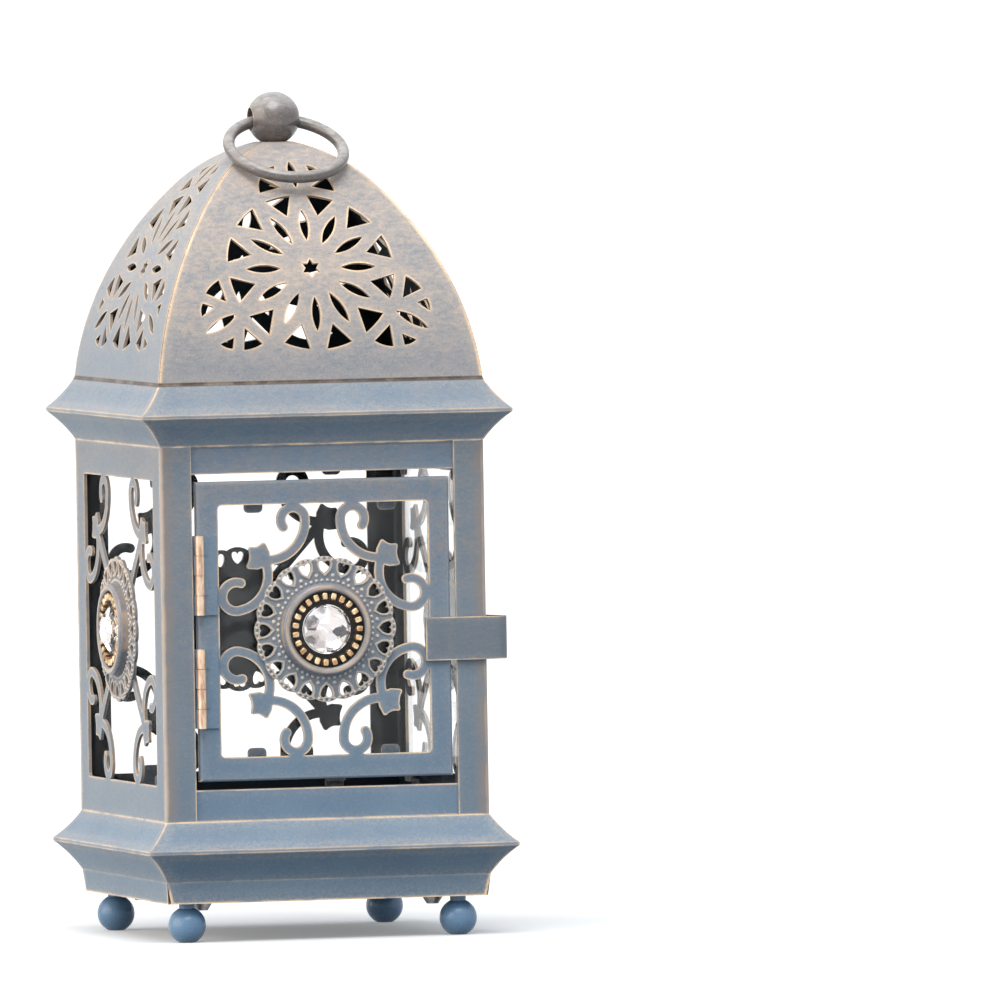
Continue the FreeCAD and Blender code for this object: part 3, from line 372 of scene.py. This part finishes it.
def painted_metal(name, tones, warmth, specks, rub_width, rub, breaks=150.0, rough=0.5, metal=0.0, gloss=0.28,
                  dust=0.15, pale=0.0, pale_tone=DUST, shade_inside=True, upward=0.0, heights=(0.02, 0.13),
                  corner=False, crest=0.0, seam=None):
    """A paint from three tones; widths and heights are in metres, and most other values are shares."""
    finish = bpy.data.materials.new(name)
    finish.use_nodes = True
    tree = finish.node_tree
    shader = tree.nodes["Principled BSDF"]
    mottle = use(tree, mottle_group, {"Paint": tones[0], "Cloud": tones[1], "Warm": tones[2],
                                      "Warmth": warmth, "Specks": specks,
                                      "Cool Below": heights[0], "Warm Above": heights[1]})
    wide = rub_width * DUST_SPREAD
    brushed = use(tree, rub_group, {"Width": wide, "Strength": dust, "Breaks": DUST_BREAKS})["Mask"]
    edge = use(tree, rub_group, {"Width": rub_width, "Strength": rub, "Breaks": breaks})["Mask"]
    colour = mottle["Color"]
    # pale upward faces: dust on most paints, painted light on the finial
    if pale:
        colour = blend(tree, use(tree, slope_group, {"Strength": pale})["Mask"], colour, pale_tone)
    colour = blend(tree, edge, blend(tree, brushed, colour, DUST), COPPER)
    if corner:
        fold = use(tree, corner_group, {"Sum": CORNER_SUM})
        # folded corner: bare metal with a painted highlight, and rubbed brown beside it
        colour = blend(tree, fold["Mask"], blend(tree, fold["Halo"], colour, BROWN), BARE_AND_HIGHLIGHT)
    if crest:
        # crest of the ring: rubbed copper with a painted highlight
        colour = blend(tree, use(tree, crest_group, {"Strength": crest})["Mask"], colour, COPPER)
    if seam:
        # painted shadow: a dark line along the seam under the dome
        colour = blend(tree, use(tree, seam_group, {"Height": seam})["Mask"], colour, SEAM_SHADOW)
    if shade_inside:
        inside = use(tree, inside_shade_group, {"Upward": upward})["Mask"]
        # painted shade: near black on the faces that look inwards, which lie in shadow
        colour = blend(tree, inside, colour, INSIDE_SHADE)
        edge = calc(tree, "MULTIPLY", edge, calc(tree, "SUBTRACT", 1.0, inside))
    tree.links.new(colour, shader.inputs["Base Color"])
    metallic = calc(tree, "ADD", calc(tree, "MULTIPLY", edge, RUBBED_METAL), metal)
    tree.links.new(metallic, shader.inputs["Metallic"])
    grain_rough = ramp(tree, mottle["Grain"], 0.3, 0.7, rough + ROUGH_DRIFT, rough - ROUGH_DRIFT)
    smoother = calc(tree, "MULTIPLY", edge, RUBBED_SMOOTHER)
    tree.links.new(calc(tree, "SUBTRACT", grain_rough, smoother), shader.inputs["Roughness"])
    shader.inputs["Specular IOR Level"].default_value = gloss
    lift = {"Strength": GRAIN_STRENGTH, "Distance": GRAIN_LIFT, "Height": mottle["Grain"]}
    tree.links.new(add(tree, "ShaderNodeBump", lift).outputs[0], shader.inputs["Normal"])
    return finish


print("recipe ready: painted_metal")

# %% [markdown]
# The paints, piece by piece
#
# The same brush went over the whole lantern, but each kind of piece took it differently. Each paint could
# be a material made by hand. As one entry of a table, it is only what sets it apart: its three tones, how
# warm and speckled it is, and how wide and how strongly its edges are rubbed. The posts and the latch have
# paints of their own, because they were rubbed differently from the rest of the body, and the latch paint
# is also a little darker as painted shade of its bend. The side panels and the sides of the dome have
# lighter, cooler paints than the front, which is painted light for the cool light that falls on those sides.
# The dome's own paint is warmer towards its top, partly painted warm light from above.

# %% Paints
WARM_GREY = (182, 164, 150)
SLATE = three_tones((124, 151, 174), (115, 142, 167), WARM_GREY)
DOOR = three_tones((122, 148, 170), (113, 139, 163), (176, 158, 145))
MOULDING = three_tones((122, 148, 170), (114, 140, 164), (206, 184, 164))
# Dome: warmer front and back, cooler and lighter sides, partly painted light (warm from above, cool on the
# sides).
DOME = three_tones((152, 158, 167), (146, 154, 165), (212, 194, 180))
LIT_DOME_SIDE = three_tones((150, 162, 174), (143, 157, 171), (204, 190, 178))
# Inside pieces: a darker copy of the slate paint, painted shade for the shadow inside the lantern.
INNER_SHADED = three_tones((78, 92, 104), (64, 78, 92), WARM_GREY)
FILIGREE = three_tones((136, 150, 164), (122, 138, 156), (200, 178, 158))
BEZEL = three_tones((116, 132, 150), (102, 120, 140), (214, 178, 148))
# Finial: a dark paint, the painted shade of the undersides of ball and ring; their pale upward share is
# painted light.
FINIAL = three_tones((92, 87, 87), (82, 80, 82), (176, 156, 140))
FOOT = three_tones((118, 154, 188), (106, 144, 180), (150, 166, 184))
# Glass tabs: darker than the door paint, painted shade, as they sit in shadow behind the glass.
SHADED_GLASS_TAB = three_tones((84, 100, 114), (70, 86, 102), WARM_GREY)
# Side panels: a lighter, greyer copy of the slate, painted light for the light that falls on the sides.
LIT_SIDE_PANEL = three_tones((140, 155, 169), (132, 149, 165), (190, 172, 158))
POST = three_tones((126, 144, 159), (120, 139, 156), WARM_GREY)
# Latch: a little darker than the body, partly painted shade of its bend.
LATCH = three_tones((118, 134, 148), (111, 128, 143), (164, 147, 136))
PAINTS = {
    "body_paint": dict(tones=SLATE, warmth=0.6, specks=0.12, rub_width=0.0008, rub=1.3),
    "door_paint": dict(tones=DOOR, warmth=0.75, specks=0.15, rub_width=0.0009, rub=1.3, heights=(0.04, 0.11)),
    "moulding_paint": dict(tones=MOULDING, warmth=0.45, specks=0.2, rub_width=0.0012, rub=1.5, dust=0.3,
                           pale=0.06, shade_inside=False, heights=(0.03, 0.2), seam=DOME_SEAM),
    "dome_paint": dict(tones=DOME, warmth=1.3, specks=0.4, rub_width=0.0012, rub=1.3, dust=0.35, upward=1.0,
                       heights=(0.132, 0.165), seam=DOME_SEAM),
    "dome_side_paint": dict(tones=LIT_DOME_SIDE, warmth=0.9, specks=0.3, rub_width=0.001, rub=1.3, upward=1.0,
                            heights=(0.135, 0.178), seam=DOME_SEAM),
    "inner_paint": dict(tones=INNER_SHADED, warmth=0.1, specks=0.2, rub_width=0.0006, rub=0.3, shade_inside=False),
    "filigree_paint": dict(tones=FILIGREE, warmth=0.5, specks=0.3, rub_width=0.0004, rub=1.3, breaks=220.0),
    "bezel_paint": dict(tones=BEZEL, warmth=0.6, specks=0.2, rub_width=0.0006, rub=0.6, rough=0.28, metal=0.1,
                        gloss=0.5, pale=0.25, shade_inside=False, crest=0.6),
    # finial: a strong pale share on the upward faces, painted light from above over the dark paint
    "finial_paint": dict(tones=FINIAL, warmth=0.35, specks=0.2, rub_width=0.0006, rub=0.6, rough=0.2,
                         gloss=0.7, dust=0.0, pale=0.75, pale_tone=tone(210, 206, 203), shade_inside=False),
    "foot_paint": dict(tones=FOOT, warmth=0.2, specks=0.04, rub_width=0.0003, rub=0.1, rough=0.28, gloss=0.5,
                       dust=0.0, shade_inside=False),
    "tab_steel": dict(tones=SHADED_GLASS_TAB, warmth=0.2, specks=0.2, rub_width=0.0005, rub=0.5, shade_inside=False),
    "side_paint": dict(tones=LIT_SIDE_PANEL, warmth=0.6, specks=0.12, rub_width=0.0009, rub=1.3),
    "post_paint": dict(tones=POST, warmth=0.6, specks=0.12, rub_width=0.0006, rub=1.2, corner=True),
    "latch_paint": dict(tones=LATCH, warmth=0.6, specks=0.12, rub_width=0.0008, rub=1.2),
}
finishes = {name: painted_metal(name, **recipe) for name, recipe in PAINTS.items()}
print("paints:", ", ".join(finishes))

# %% [markdown]
# Hinges
#
# The leaves of the two hinges were painted with the door, but their barrels stand proud and were rubbed
# bright all round. One solid holds both, so the copper starts at a depth: everything that stands out past
# the leaf's sheet is barrel. Streaks across the barrel, stretched by a Mapping node, show the hand's
# strokes.

# %% Hinge copper
LEAF_SHEET, BARREL_FADE = 0.00085, 0.0003
BARREL_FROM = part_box("door_panel")[0].y - LEAF_SHEET


def hinge_metal():
    finish = bpy.data.materials.new("hinge_copper")
    finish.use_nodes = True
    tree = finish.node_tree
    shader = tree.nodes["Principled BSDF"]
    place = add(tree, "ShaderNodeTexCoord").outputs["Object"]
    depth = add(tree, "ShaderNodeSeparateXYZ", {0: place}).outputs[1]
    barrel = ramp(tree, depth, BARREL_FROM, BARREL_FROM - BARREL_FADE)
    mottle = use(tree, mottle_group, {"Paint": SLATE[0], "Cloud": SLATE[1], "Warm": SLATE[2],
                                      "Warmth": 0.3, "Specks": 0.2})
    stretched = add(tree, "ShaderNodeMapping", {"Vector": place, "Scale": (1, 1, 0.25)}).outputs[0]
    strokes = ramp(tree, noise(tree, stretched, scale=900.0), 0.35, 0.65)
    copper = blend(tree, strokes, tone(196, 158, 130), tone(240, 212, 186))
    tree.links.new(blend(tree, barrel, mottle["Color"], copper), shader.inputs["Base Color"])
    tree.links.new(calc(tree, "MULTIPLY", barrel, 0.6), shader.inputs["Metallic"])
    tree.links.new(ramp(tree, strokes, 0.0, 1.0, 0.42, 0.3), shader.inputs["Roughness"])
    return finish


finishes["hinge_copper"] = hinge_metal()
print("barrel starts at y =", round(BARREL_FROM, 5))

# %% [markdown]
# Bright metal
#
# The claws that hold the stones are pale brass, and the screws and hinge pins are plain steel. One even
# colour would do from afar. Close up, old metal has darker spots that are also duller, so one noise drives
# both the colour and the roughness. Both metals are metal all through and get the full Metallic value.

# %% Brass and steel
def bright_metal(name, light, dark, rough):
    finish = bpy.data.materials.new(name)
    finish.use_nodes = True
    tree = finish.node_tree
    shader = tree.nodes["Principled BSDF"]
    place = add(tree, "ShaderNodeTexCoord").outputs["Object"]
    drift = ramp(tree, noise(tree, place, scale=420.0), 0.3, 0.7)
    tree.links.new(blend(tree, drift, dark, light), shader.inputs["Base Color"])
    tree.links.new(ramp(tree, drift, 0.0, 1.0, rough + 0.1, rough), shader.inputs["Roughness"])
    shader.inputs["Metallic"].default_value = 1.0
    return finish


METALS = {
    "claw_brass": dict(light=tone(246, 222, 184), dark=tone(160, 120, 82), rough=0.3),
    "fastener_steel": dict(light=tone(188, 188, 188), dark=tone(150, 150, 152), rough=0.35),
}
for name, recipe in METALS.items():
    finishes[name] = bright_metal(name, **recipe)
print("metals:", ", ".join(METALS))

# %% [markdown]
# Window glass
#
# The panes are flat and thin, so light passes them almost straight. Glass that bends light would also block
# the lamps and leave the inside in noisy dark. A Transparent shader lets everything through, and a sharp
# gloss is mixed in that grows towards grazing angles, by the usual fifth power of the Layer Weight. Faint
# smears of dust make the gloss uneven. The right pane is seen as brighter than the others and the left one
# as clearer, so the gloss straight on and the gloss at grazing angles are values of the recipe.

# %% Glass
def window_glass(name, straight_gloss, grazing_gloss):
    finish = bpy.data.materials.new(name)
    finish.use_nodes = True
    tree = finish.node_tree
    gloss = tree.nodes["Principled BSDF"]
    gloss.inputs["Base Color"].default_value = tone(248, 248, 248)
    gloss.inputs["Metallic"].default_value = 1.0
    place = add(tree, "ShaderNodeTexCoord").outputs["Object"]
    smear = ramp(tree, noise(tree, place, scale=60.0, detail=4.0, rough=0.65), 0.45, 0.75)
    tree.links.new(ramp(tree, smear, 0.0, 1.0, 0.02, 0.16), gloss.inputs["Roughness"])
    grazing = add(tree, "ShaderNodeLayerWeight", {"Blend": 0.5}).outputs["Facing"]
    rise = calc(tree, "MULTIPLY", calc(tree, "POWER", grazing, 5.0), grazing_gloss)
    uneven = ramp(tree, smear, 0.0, 1.0, 0.8, 1.5)
    share = calc(tree, "MULTIPLY", calc(tree, "ADD", rise, straight_gloss), uneven)
    clear = add(tree, "ShaderNodeBsdfTransparent", {"Color": tone(254, 254, 254)}).outputs[0]
    pane = add(tree, "ShaderNodeMixShader", {0: share, 1: clear, 2: gloss.outputs[0]}).outputs[0]
    tree.links.new(pane, tree.nodes["Material Output"].inputs["Surface"])
    return finish


PANES = {
    "window_glass": dict(straight_gloss=0.016, grazing_gloss=0.2),
    "bright_glass": dict(straight_gloss=0.03, grazing_gloss=0.9),
    "dim_glass": dict(straight_gloss=0.006, grazing_gloss=0.04),
}
for name, recipe in PANES.items():
    finishes[name] = window_glass(name, **recipe)
print("glass:", ", ".join(PANES))

# %% [markdown]
# Cut stones
#
# The stones are solid glass with flat facets, and their sparkle is light bent by those facets. Here the
# full glass of the Principled shader is right, with a high index as lead crystal has. A trace of warm and
# cool colour that changes from facet to facet stands for the fire of the stone.

# %% Crystal
def cut_crystal():
    finish = bpy.data.materials.new("crystal")
    finish.use_nodes = True
    tree = finish.node_tree
    shader = tree.nodes["Principled BSDF"]
    facet = add(tree, "ShaderNodeTexCoord").outputs["Normal"]
    fire = noise(tree, facet, scale=3.0, detail=1.0)
    tint = blend(tree, ramp(tree, fire, 0.35, 0.65), tone(244, 244, 250), tone(255, 250, 246))
    tree.links.new(tint, shader.inputs["Base Color"])
    shader.inputs["Roughness"].default_value = 0.0
    shader.inputs["IOR"].default_value = 1.6
    shader.inputs["Transmission Weight"].default_value = 1.0
    return finish


finishes["crystal"] = cut_crystal()
print("stone: crystal")

# %% [markdown]
# Finishes on the solids
#
# Every solid says in the record which finish it wears, so most of them are dressed by one loop and not one
# by one. A few pieces of the real lantern look different from others of the same kind. Those are named here
# with the finish of their own.

# %% Finishes on the solids
for part in frame["record"]["subparts"]:
    frame["nodes"][part["node"]].material_slots[0].material = finishes[part["material_slot"]]
OWN_FINISH = {
    "post_paint": ("left_post", "right_post"),
    "side_paint": ("left_panel", "right_panel"),
    "latch_paint": ("latch_clip",),
    "dim_glass": ("left_glass",),
    "bright_glass": ("right_glass",),
    "dome_side_paint": ("dome_panel_left", "dome_panel_right"),
}
for name, nodes in OWN_FINISH.items():
    for node in nodes:
        frame["nodes"][node].material_slots[0].material = finishes[name]

# %% [markdown]
# Places for the medallions
#
# Four jewelled medallions sit on the door and on the other three sides. Their fine relief is modelled once,
# lying on an imaginary wall with its face towards -Y, and then set on each side: turned about the upright
# axis and moved to the middle of the filigree disc's face. Placing the mesh and not the object keeps every
# object at the origin.

# %% Medallion places
MEDALLION_BODY = {"door": "door", "left": "lantern", "right": "lantern", "back": "lantern"}
MEDALLION_TURN = {"door": 0, "left": -90, "right": 90, "back": 180}
MM = 0.001


def medallion_place(side):
    low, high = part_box(side + "_filigree")
    turn = Matrix.Rotation(math.radians(MEDALLION_TURN[side]), 4, "Z")
    depth = min(high.x - low.x, high.y - low.y)
    face = (low + high) / 2 + turn @ Vector((0, -depth / 2, 0))
    return Matrix.Translation(face) @ turn


def set_on_sides(form, name, materials, replaced=None):
    """Puts a finished bmesh on all four sides and gives each copy its body."""
    for side, body in MEDALLION_BODY.items():
        mesh = bpy.data.meshes.new(side + "_" + name)
        form.to_mesh(mesh)
        mesh.transform(medallion_place(side))
        for material in materials:
            mesh.materials.append(material)
        piece = bpy.data.objects.new(side + "_" + name, mesh)
        scene.collection.objects.link(piece)
        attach(piece, body)
        if replaced:
            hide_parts(side + replaced)
    print(name, "on", len(MEDALLION_BODY), "sides,", len(form.faces), "faces each")
    form.free()


for side in MEDALLION_BODY:
    print(side, "medallion at", [round(c, 4) for c in medallion_place(side).translation])

# %% [markdown]
# Beads of the filigree
#
# Between the hearts and the bezel run a ring of small beads and a wider ring of single larger ones, and
# four knobs follow the scalloped rim round each heart. A bump texture could suggest them, but they show in
# the outline of the disc and catch the light one by one. So each bead is a small sphere pressed half into
# the disc. There are many, so each has only a few dozen faces, and smooth shading rounds them.

# %% Beads
HEARTS = 20
BEAD_R, LARGE_BEAD_R, BEAD_FLATTEN = 0.42 * MM, 0.52 * MM, 0.8
SMALL_ROW_R, SMALL_BEADS = 12.3 * MM, 54
LARGE_ROW_R = 13.55 * MM
KNOBS = ((17.45 * MM, -6.4), (17.85 * MM, -2.2), (17.85 * MM, 2.2), (17.45 * MM, 6.4))


def polar_matrix(radius, degrees, depth=0.0):
    """Where a small piece goes on the disc: out along its own direction, from the middle."""
    return Matrix.Rotation(math.radians(degrees), 4, "Y") @ Matrix.Translation((radius, depth, 0))


def bead_rings():
    form = bmesh.new()
    step = 360 / HEARTS
    beads = [(SMALL_ROW_R, k * 360 / SMALL_BEADS, BEAD_R) for k in range(SMALL_BEADS)]
    beads += [(LARGE_ROW_R, (k + 0.5) * step, LARGE_BEAD_R) for k in range(HEARTS)]
    beads += [(radius, k * step + turn, BEAD_R) for k in range(HEARTS) for radius, turn in KNOBS]
    for radius, degrees, size in beads:
        put = polar_matrix(radius, degrees)
        bmesh.ops.create_uvsphere(form, u_segments=8, v_segments=6, radius=size, matrix=put)
    bmesh.ops.scale(form, vec=(1, BEAD_FLATTEN, 1), verts=form.verts)
    for face in form.faces:
        face.smooth = True
    return form


# The beads are pale cream: rubbed paint on the raised beads, and partly a painted highlight.
bead_tones = three_tones((226, 220, 212), (196, 196, 198), (244, 222, 200))
bead_metal = painted_metal("bead_paint", bead_tones, warmth=1.3, specks=0.2, rub_width=0.0003, rub=0.4,
                           rough=0.26, gloss=0.5, dust=0.0, shade_inside=False)
set_on_sides(bead_rings(), "beads", [bead_metal])

# %% [markdown]
# Rims round the hearts
#
# Each heart-shaped hole has a raised rim. It could be a curve with a round section, but the rim is a flat
# little wall with soft edges. So one heart is drawn with a few points, inset to leave a band, extruded and
# bevelled, and then copied round the disc. The inset follows the normal of the face, which a new face does
# not have yet, so that is worked out first.

# %% Heart rims
RIM_TIP, RIM_NOTCH = (13.15, 0), (17.34, 0)
RIM_HALF = ((14.65, 1.56), (16.05, 2.05), (16.82, 2.03), (17.4, 1.63), (17.66, 0.86))
RIM_WIDTH, RIM_HEIGHT, RIM_ROUND, RIM_SUNK = 0.48 * MM, 0.4 * MM, 0.13 * MM, 0.05 * MM
SAME_SPOT = 1e-7


def heart_rim():
    form = bmesh.new()
    other_half = [(out, -across) for out, across in reversed(RIM_HALF)]
    outline = [RIM_TIP, *RIM_HALF, RIM_NOTCH, *other_half]
    corners = [form.verts.new((out * MM, RIM_SUNK, across * MM)) for out, across in outline]
    heart = form.faces.new(corners)
    heart.normal_update()
    bmesh.ops.inset_region(form, faces=[heart], thickness=RIM_WIDTH, use_boundary=True, use_even_offset=True)
    bmesh.ops.delete(form, geom=[heart], context="FACES")
    band = bmesh.ops.extrude_face_region(form, geom=form.faces[:])
    top = [g for g in band["geom"] if isinstance(g, bmesh.types.BMVert)]
    bmesh.ops.translate(form, vec=(0, -RIM_HEIGHT, 0), verts=top)
    bmesh.ops.remove_doubles(form, verts=form.verts, dist=SAME_SPOT)
    bmesh.ops.recalc_face_normals(form, faces=form.faces)
    upper = [e for e in form.edges if all(v.co.y < 0 for v in e.verts)]
    crest = [e for e in upper if e.calc_face_angle(0) > 1]
    bmesh.ops.bevel(form, geom=crest, offset=RIM_ROUND, offset_type="OFFSET", affect="EDGES", segments=2,
                    profile=0.5, material=-1)
    return form


def heart_rims():
    form = heart_rim()
    first = form.verts[:] + form.edges[:] + form.faces[:]
    for k in range(1, HEARTS):
        copy = bmesh.ops.duplicate(form, geom=first)["geom"]
        verts = [g for g in copy if isinstance(g, bmesh.types.BMVert)]
        turn = Matrix.Rotation(math.radians(k * 360 / HEARTS), 3, "Y")
        bmesh.ops.rotate(form, cent=(0, 0, 0), matrix=turn, verts=verts)
    return form


# The rims are pale: rubbed paint on their crests, and partly a painted highlight.
rim_tones = three_tones((190, 188, 186), (166, 172, 180), (236, 208, 180))
rim_metal = painted_metal("heart_rim_paint", rim_tones, warmth=1.3, specks=0.2, rub_width=0.0003, rub=0.8,
                          rough=0.3, gloss=0.5, dust=0.0, shade_inside=False)
set_on_sides(heart_rims(), "heart_rims", [rim_metal])

# %% [markdown]
# Claws round the stone
#
# A ring of pale brass teeth grips each stone. On the solid the teeth are plain blocks. Here each tooth is a
# cube stretched to its size and rounded on all edges, so that it catches the light as a soft pillow. Three
# sections are spun round the middle of the medallion: the dark seat below the teeth, a thin dark collar
# between the teeth and the bezel, and a dish of silver foil under the stone. The seat and the collar are
# near black as painted shade, for the gaps between the teeth and the groove inside the bezel. The foil is
# what makes such a stone bright: light that passes through the stone is sent back out of it. The dark
# sparks of a cut stone are drawn on the foil, as the cells of a Voronoi texture, because white surroundings
# give the facets nothing dark to mirror.

# %% Claws
CLAWS = 23
CLAW_R, CLAW_DEPTH = 8.35 * MM, -1.5 * MM
TOOTH, TOOTH_ROUND = (1.8 * MM, 1.9 * MM, 1.45 * MM), 0.42 * MM
SEAT = ((6.25, 0), (9.4, 0), (9.4, -1.0), (6.25, -1.0))
COLLAR = ((9.42, -0.02), (9.48, -0.02), (9.48, -2.2), (9.42, -2.2))
FOIL = ((0, -0.02), (6.2, -0.02), (6.2, -0.95), (6.05, -0.95), (1.0, -0.1), (0, -0.1))


def spun(section, finish_index):
    """A closed section, given as radius and depth in millimetres, turned into a ring or a dish."""
    form = bmesh.new()
    corners = [form.verts.new((x * MM, y * MM, 0)) for x, y in section]
    edges = [form.edges.new((corners[k - 1], corners[k])) for k in range(len(corners))]
    bmesh.ops.spin(form, geom=corners + edges, cent=(0, 0, 0), axis=(0, 1, 0), angle=math.tau, steps=64,
                   use_merge=True)
    bmesh.ops.remove_doubles(form, verts=form.verts, dist=SAME_SPOT)
    bmesh.ops.dissolve_degenerate(form, edges=form.edges[:], dist=SAME_SPOT)
    bmesh.ops.recalc_face_normals(form, faces=form.faces)
    for face in form.faces:
        face.material_index = finish_index
    ring = bpy.data.meshes.new("spun")
    form.to_mesh(ring)
    form.free()
    return ring


def claw_ring():
    form = bmesh.new()
    for section, finish_index in ((SEAT, 0), (COLLAR, 0), (FOIL, 2)):
        ring = spun(section, finish_index)
        form.from_mesh(ring)
        bpy.data.meshes.remove(ring)
    tooth = bmesh.new()
    bmesh.ops.create_cube(tooth, size=1.0)
    bmesh.ops.scale(tooth, vec=TOOTH, verts=tooth.verts)
    bmesh.ops.bevel(tooth, geom=tooth.edges[:], offset=TOOTH_ROUND, offset_type="OFFSET", affect="EDGES",
                    segments=3, profile=0.5, material=-1)
    for face in tooth.faces:
        face.smooth = True
        face.material_index = 1
    block = bpy.data.meshes.new("tooth")
    for k in range(CLAWS):
        tooth.to_mesh(block)
        block.transform(polar_matrix(CLAW_R, k * 360 / CLAWS, CLAW_DEPTH))
        form.from_mesh(block)
    bpy.data.meshes.remove(block)
    tooth.free()
    return form


def stone_foil():
    finish = bpy.data.materials.new("stone_foil")
    finish.use_nodes = True
    tree = finish.node_tree
    shader = tree.nodes["Principled BSDF"]
    place = add(tree, "ShaderNodeTexCoord").outputs["Object"]
    cell = add(tree, "ShaderNodeTexVoronoi", {"Vector": place, "Scale": 420.0}).outputs["Color"]
    level = add(tree, "ShaderNodeSeparateColor", {0: cell}).outputs
    tint = blend(tree, ramp(tree, level[1], 0.4, 0.6), tone(255, 255, 255), tone(240, 236, 230))
    dark = calc(tree, "LESS_THAN", level[0], 0.2)
    tree.links.new(blend(tree, dark, tint, tone(72, 70, 76)), shader.inputs["Base Color"])
    tree.links.new(ramp(tree, level[2], 0.0, 1.0, 0.05, 0.2), shader.inputs["Roughness"])
    shader.inputs["Metallic"].default_value = 1.0
    return finish


# Seat and collar: near black, painted shade in the gaps between the teeth and in the groove of the bezel.
seat_shade_tones = three_tones((26, 28, 30), (20, 22, 26), (80, 62, 46))
seat_shade_paint = painted_metal("claw_seat", seat_shade_tones, warmth=0.2, specks=0.1, rub_width=0.0003, rub=0.2,
                           dust=0.0, shade_inside=False)
claw_metals = [seat_shade_paint, finishes["claw_brass"], stone_foil()]
set_on_sides(claw_ring(), "claws", claw_metals, "_claw_ring")

# %% [markdown]
# Floor
#
# The lantern stands alone on white. The floor is a wide pale disc, because a square one would show its
# corners from above. To the camera it is white, with a little light of its own so that the white holds to
# the edges and only the shadow darkens it. For light that bounces from it to the lantern it is greyer,
# because a white floor would wash out the dark undersides of the mouldings. The Light Path node tells the
# two apart.

# %% Floor
FLOOR_R = 70.0
BOUNCED, SEEN, GLOW = (0.15, 0.19, 0.22, 1), (0.9, 0.9, 0.9, 1), 0.2


def in_view(tree):
    """One for what the camera sees, also in a mirror or through glass, and zero for light that bounces."""
    rays = add(tree, "ShaderNodeLightPath").outputs
    seen = calc(tree, "MAXIMUM", rays["Is Camera Ray"], rays["Is Glossy Ray"])
    return calc(tree, "MAXIMUM", seen, rays["Is Transmission Ray"])


def floor_finish():
    finish = bpy.data.materials.new("floor")
    finish.use_nodes = True
    tree = finish.node_tree
    tree.nodes.remove(tree.nodes["Principled BSDF"])
    seen = in_view(tree)
    matte = add(tree, "ShaderNodeBsdfDiffuse", {"Color": blend(tree, seen, BOUNCED, SEEN)})
    glow = add(tree, "ShaderNodeEmission", {"Strength": calc(tree, "MULTIPLY", seen, GLOW)})
    both = add(tree, "ShaderNodeAddShader", {0: matte.outputs[0], 1: glow.outputs[0]})
    tree.links.new(both.outputs[0], tree.nodes["Material Output"].inputs["Surface"])
    return finish


disc = bmesh.new()
bmesh.ops.create_circle(disc, cap_ends=True, segments=96, radius=FLOOR_R)
floor_mesh = bpy.data.meshes.new("floor")
disc.to_mesh(floor_mesh)
disc.free()
floor_mesh.materials.append(floor_finish())
floor = bpy.data.objects.new("floor", floor_mesh)
scene.collection.objects.link(floor)
print("floor", round(floor.dimensions.x), "m across")

# %% [markdown]
# Light
#
# A soft sun high in front brings out the upper slopes, and a broad warm one low at the left brightens that
# side. Area lamps could do the same, but a sun lights all heights of the lantern alike. The world fills the
# shadows with a cool grey and is white where it is seen.

# %% Light
ROOM, WHITE = (0.60, 0.64, 0.68, 1), (1, 1, 1, 1)


def sun(name, towards, strength, softness, colour):
    """A sun that shines from a direction, as wide as the angle that it fills."""
    data = bpy.data.lights.new(name, "SUN")
    data.energy = strength * math.pi
    data.angle = math.radians(softness)
    data.color = colour
    lamp = bpy.data.objects.new(name, data)
    lamp.rotation_euler = Vector(towards).to_track_quat("Z", "Y").to_euler()
    scene.collection.objects.link(lamp)


sun("high_front", towards=(-0.15, -0.50, 0.85), strength=0.50, softness=40, colour=(1.0, 0.99, 0.97))
sun("left_window", towards=(-0.97, -0.10, 0.20), strength=0.74, softness=60, colour=(1.0, 0.88, 0.76))
world = bpy.data.worlds.new("studio")
scene.world = world
world.use_nodes = True
tree = world.node_tree
sky = blend(tree, in_view(tree), ROOM, WHITE)
tree.links.new(sky, tree.nodes["Background"].inputs["Color"])
scene.view_settings.view_transform = "Standard"

# %% [markdown]
# The end of the frame
#
# The added relief must not make the lantern larger than its CAD model.

# %% End of the frame
print("frame done")
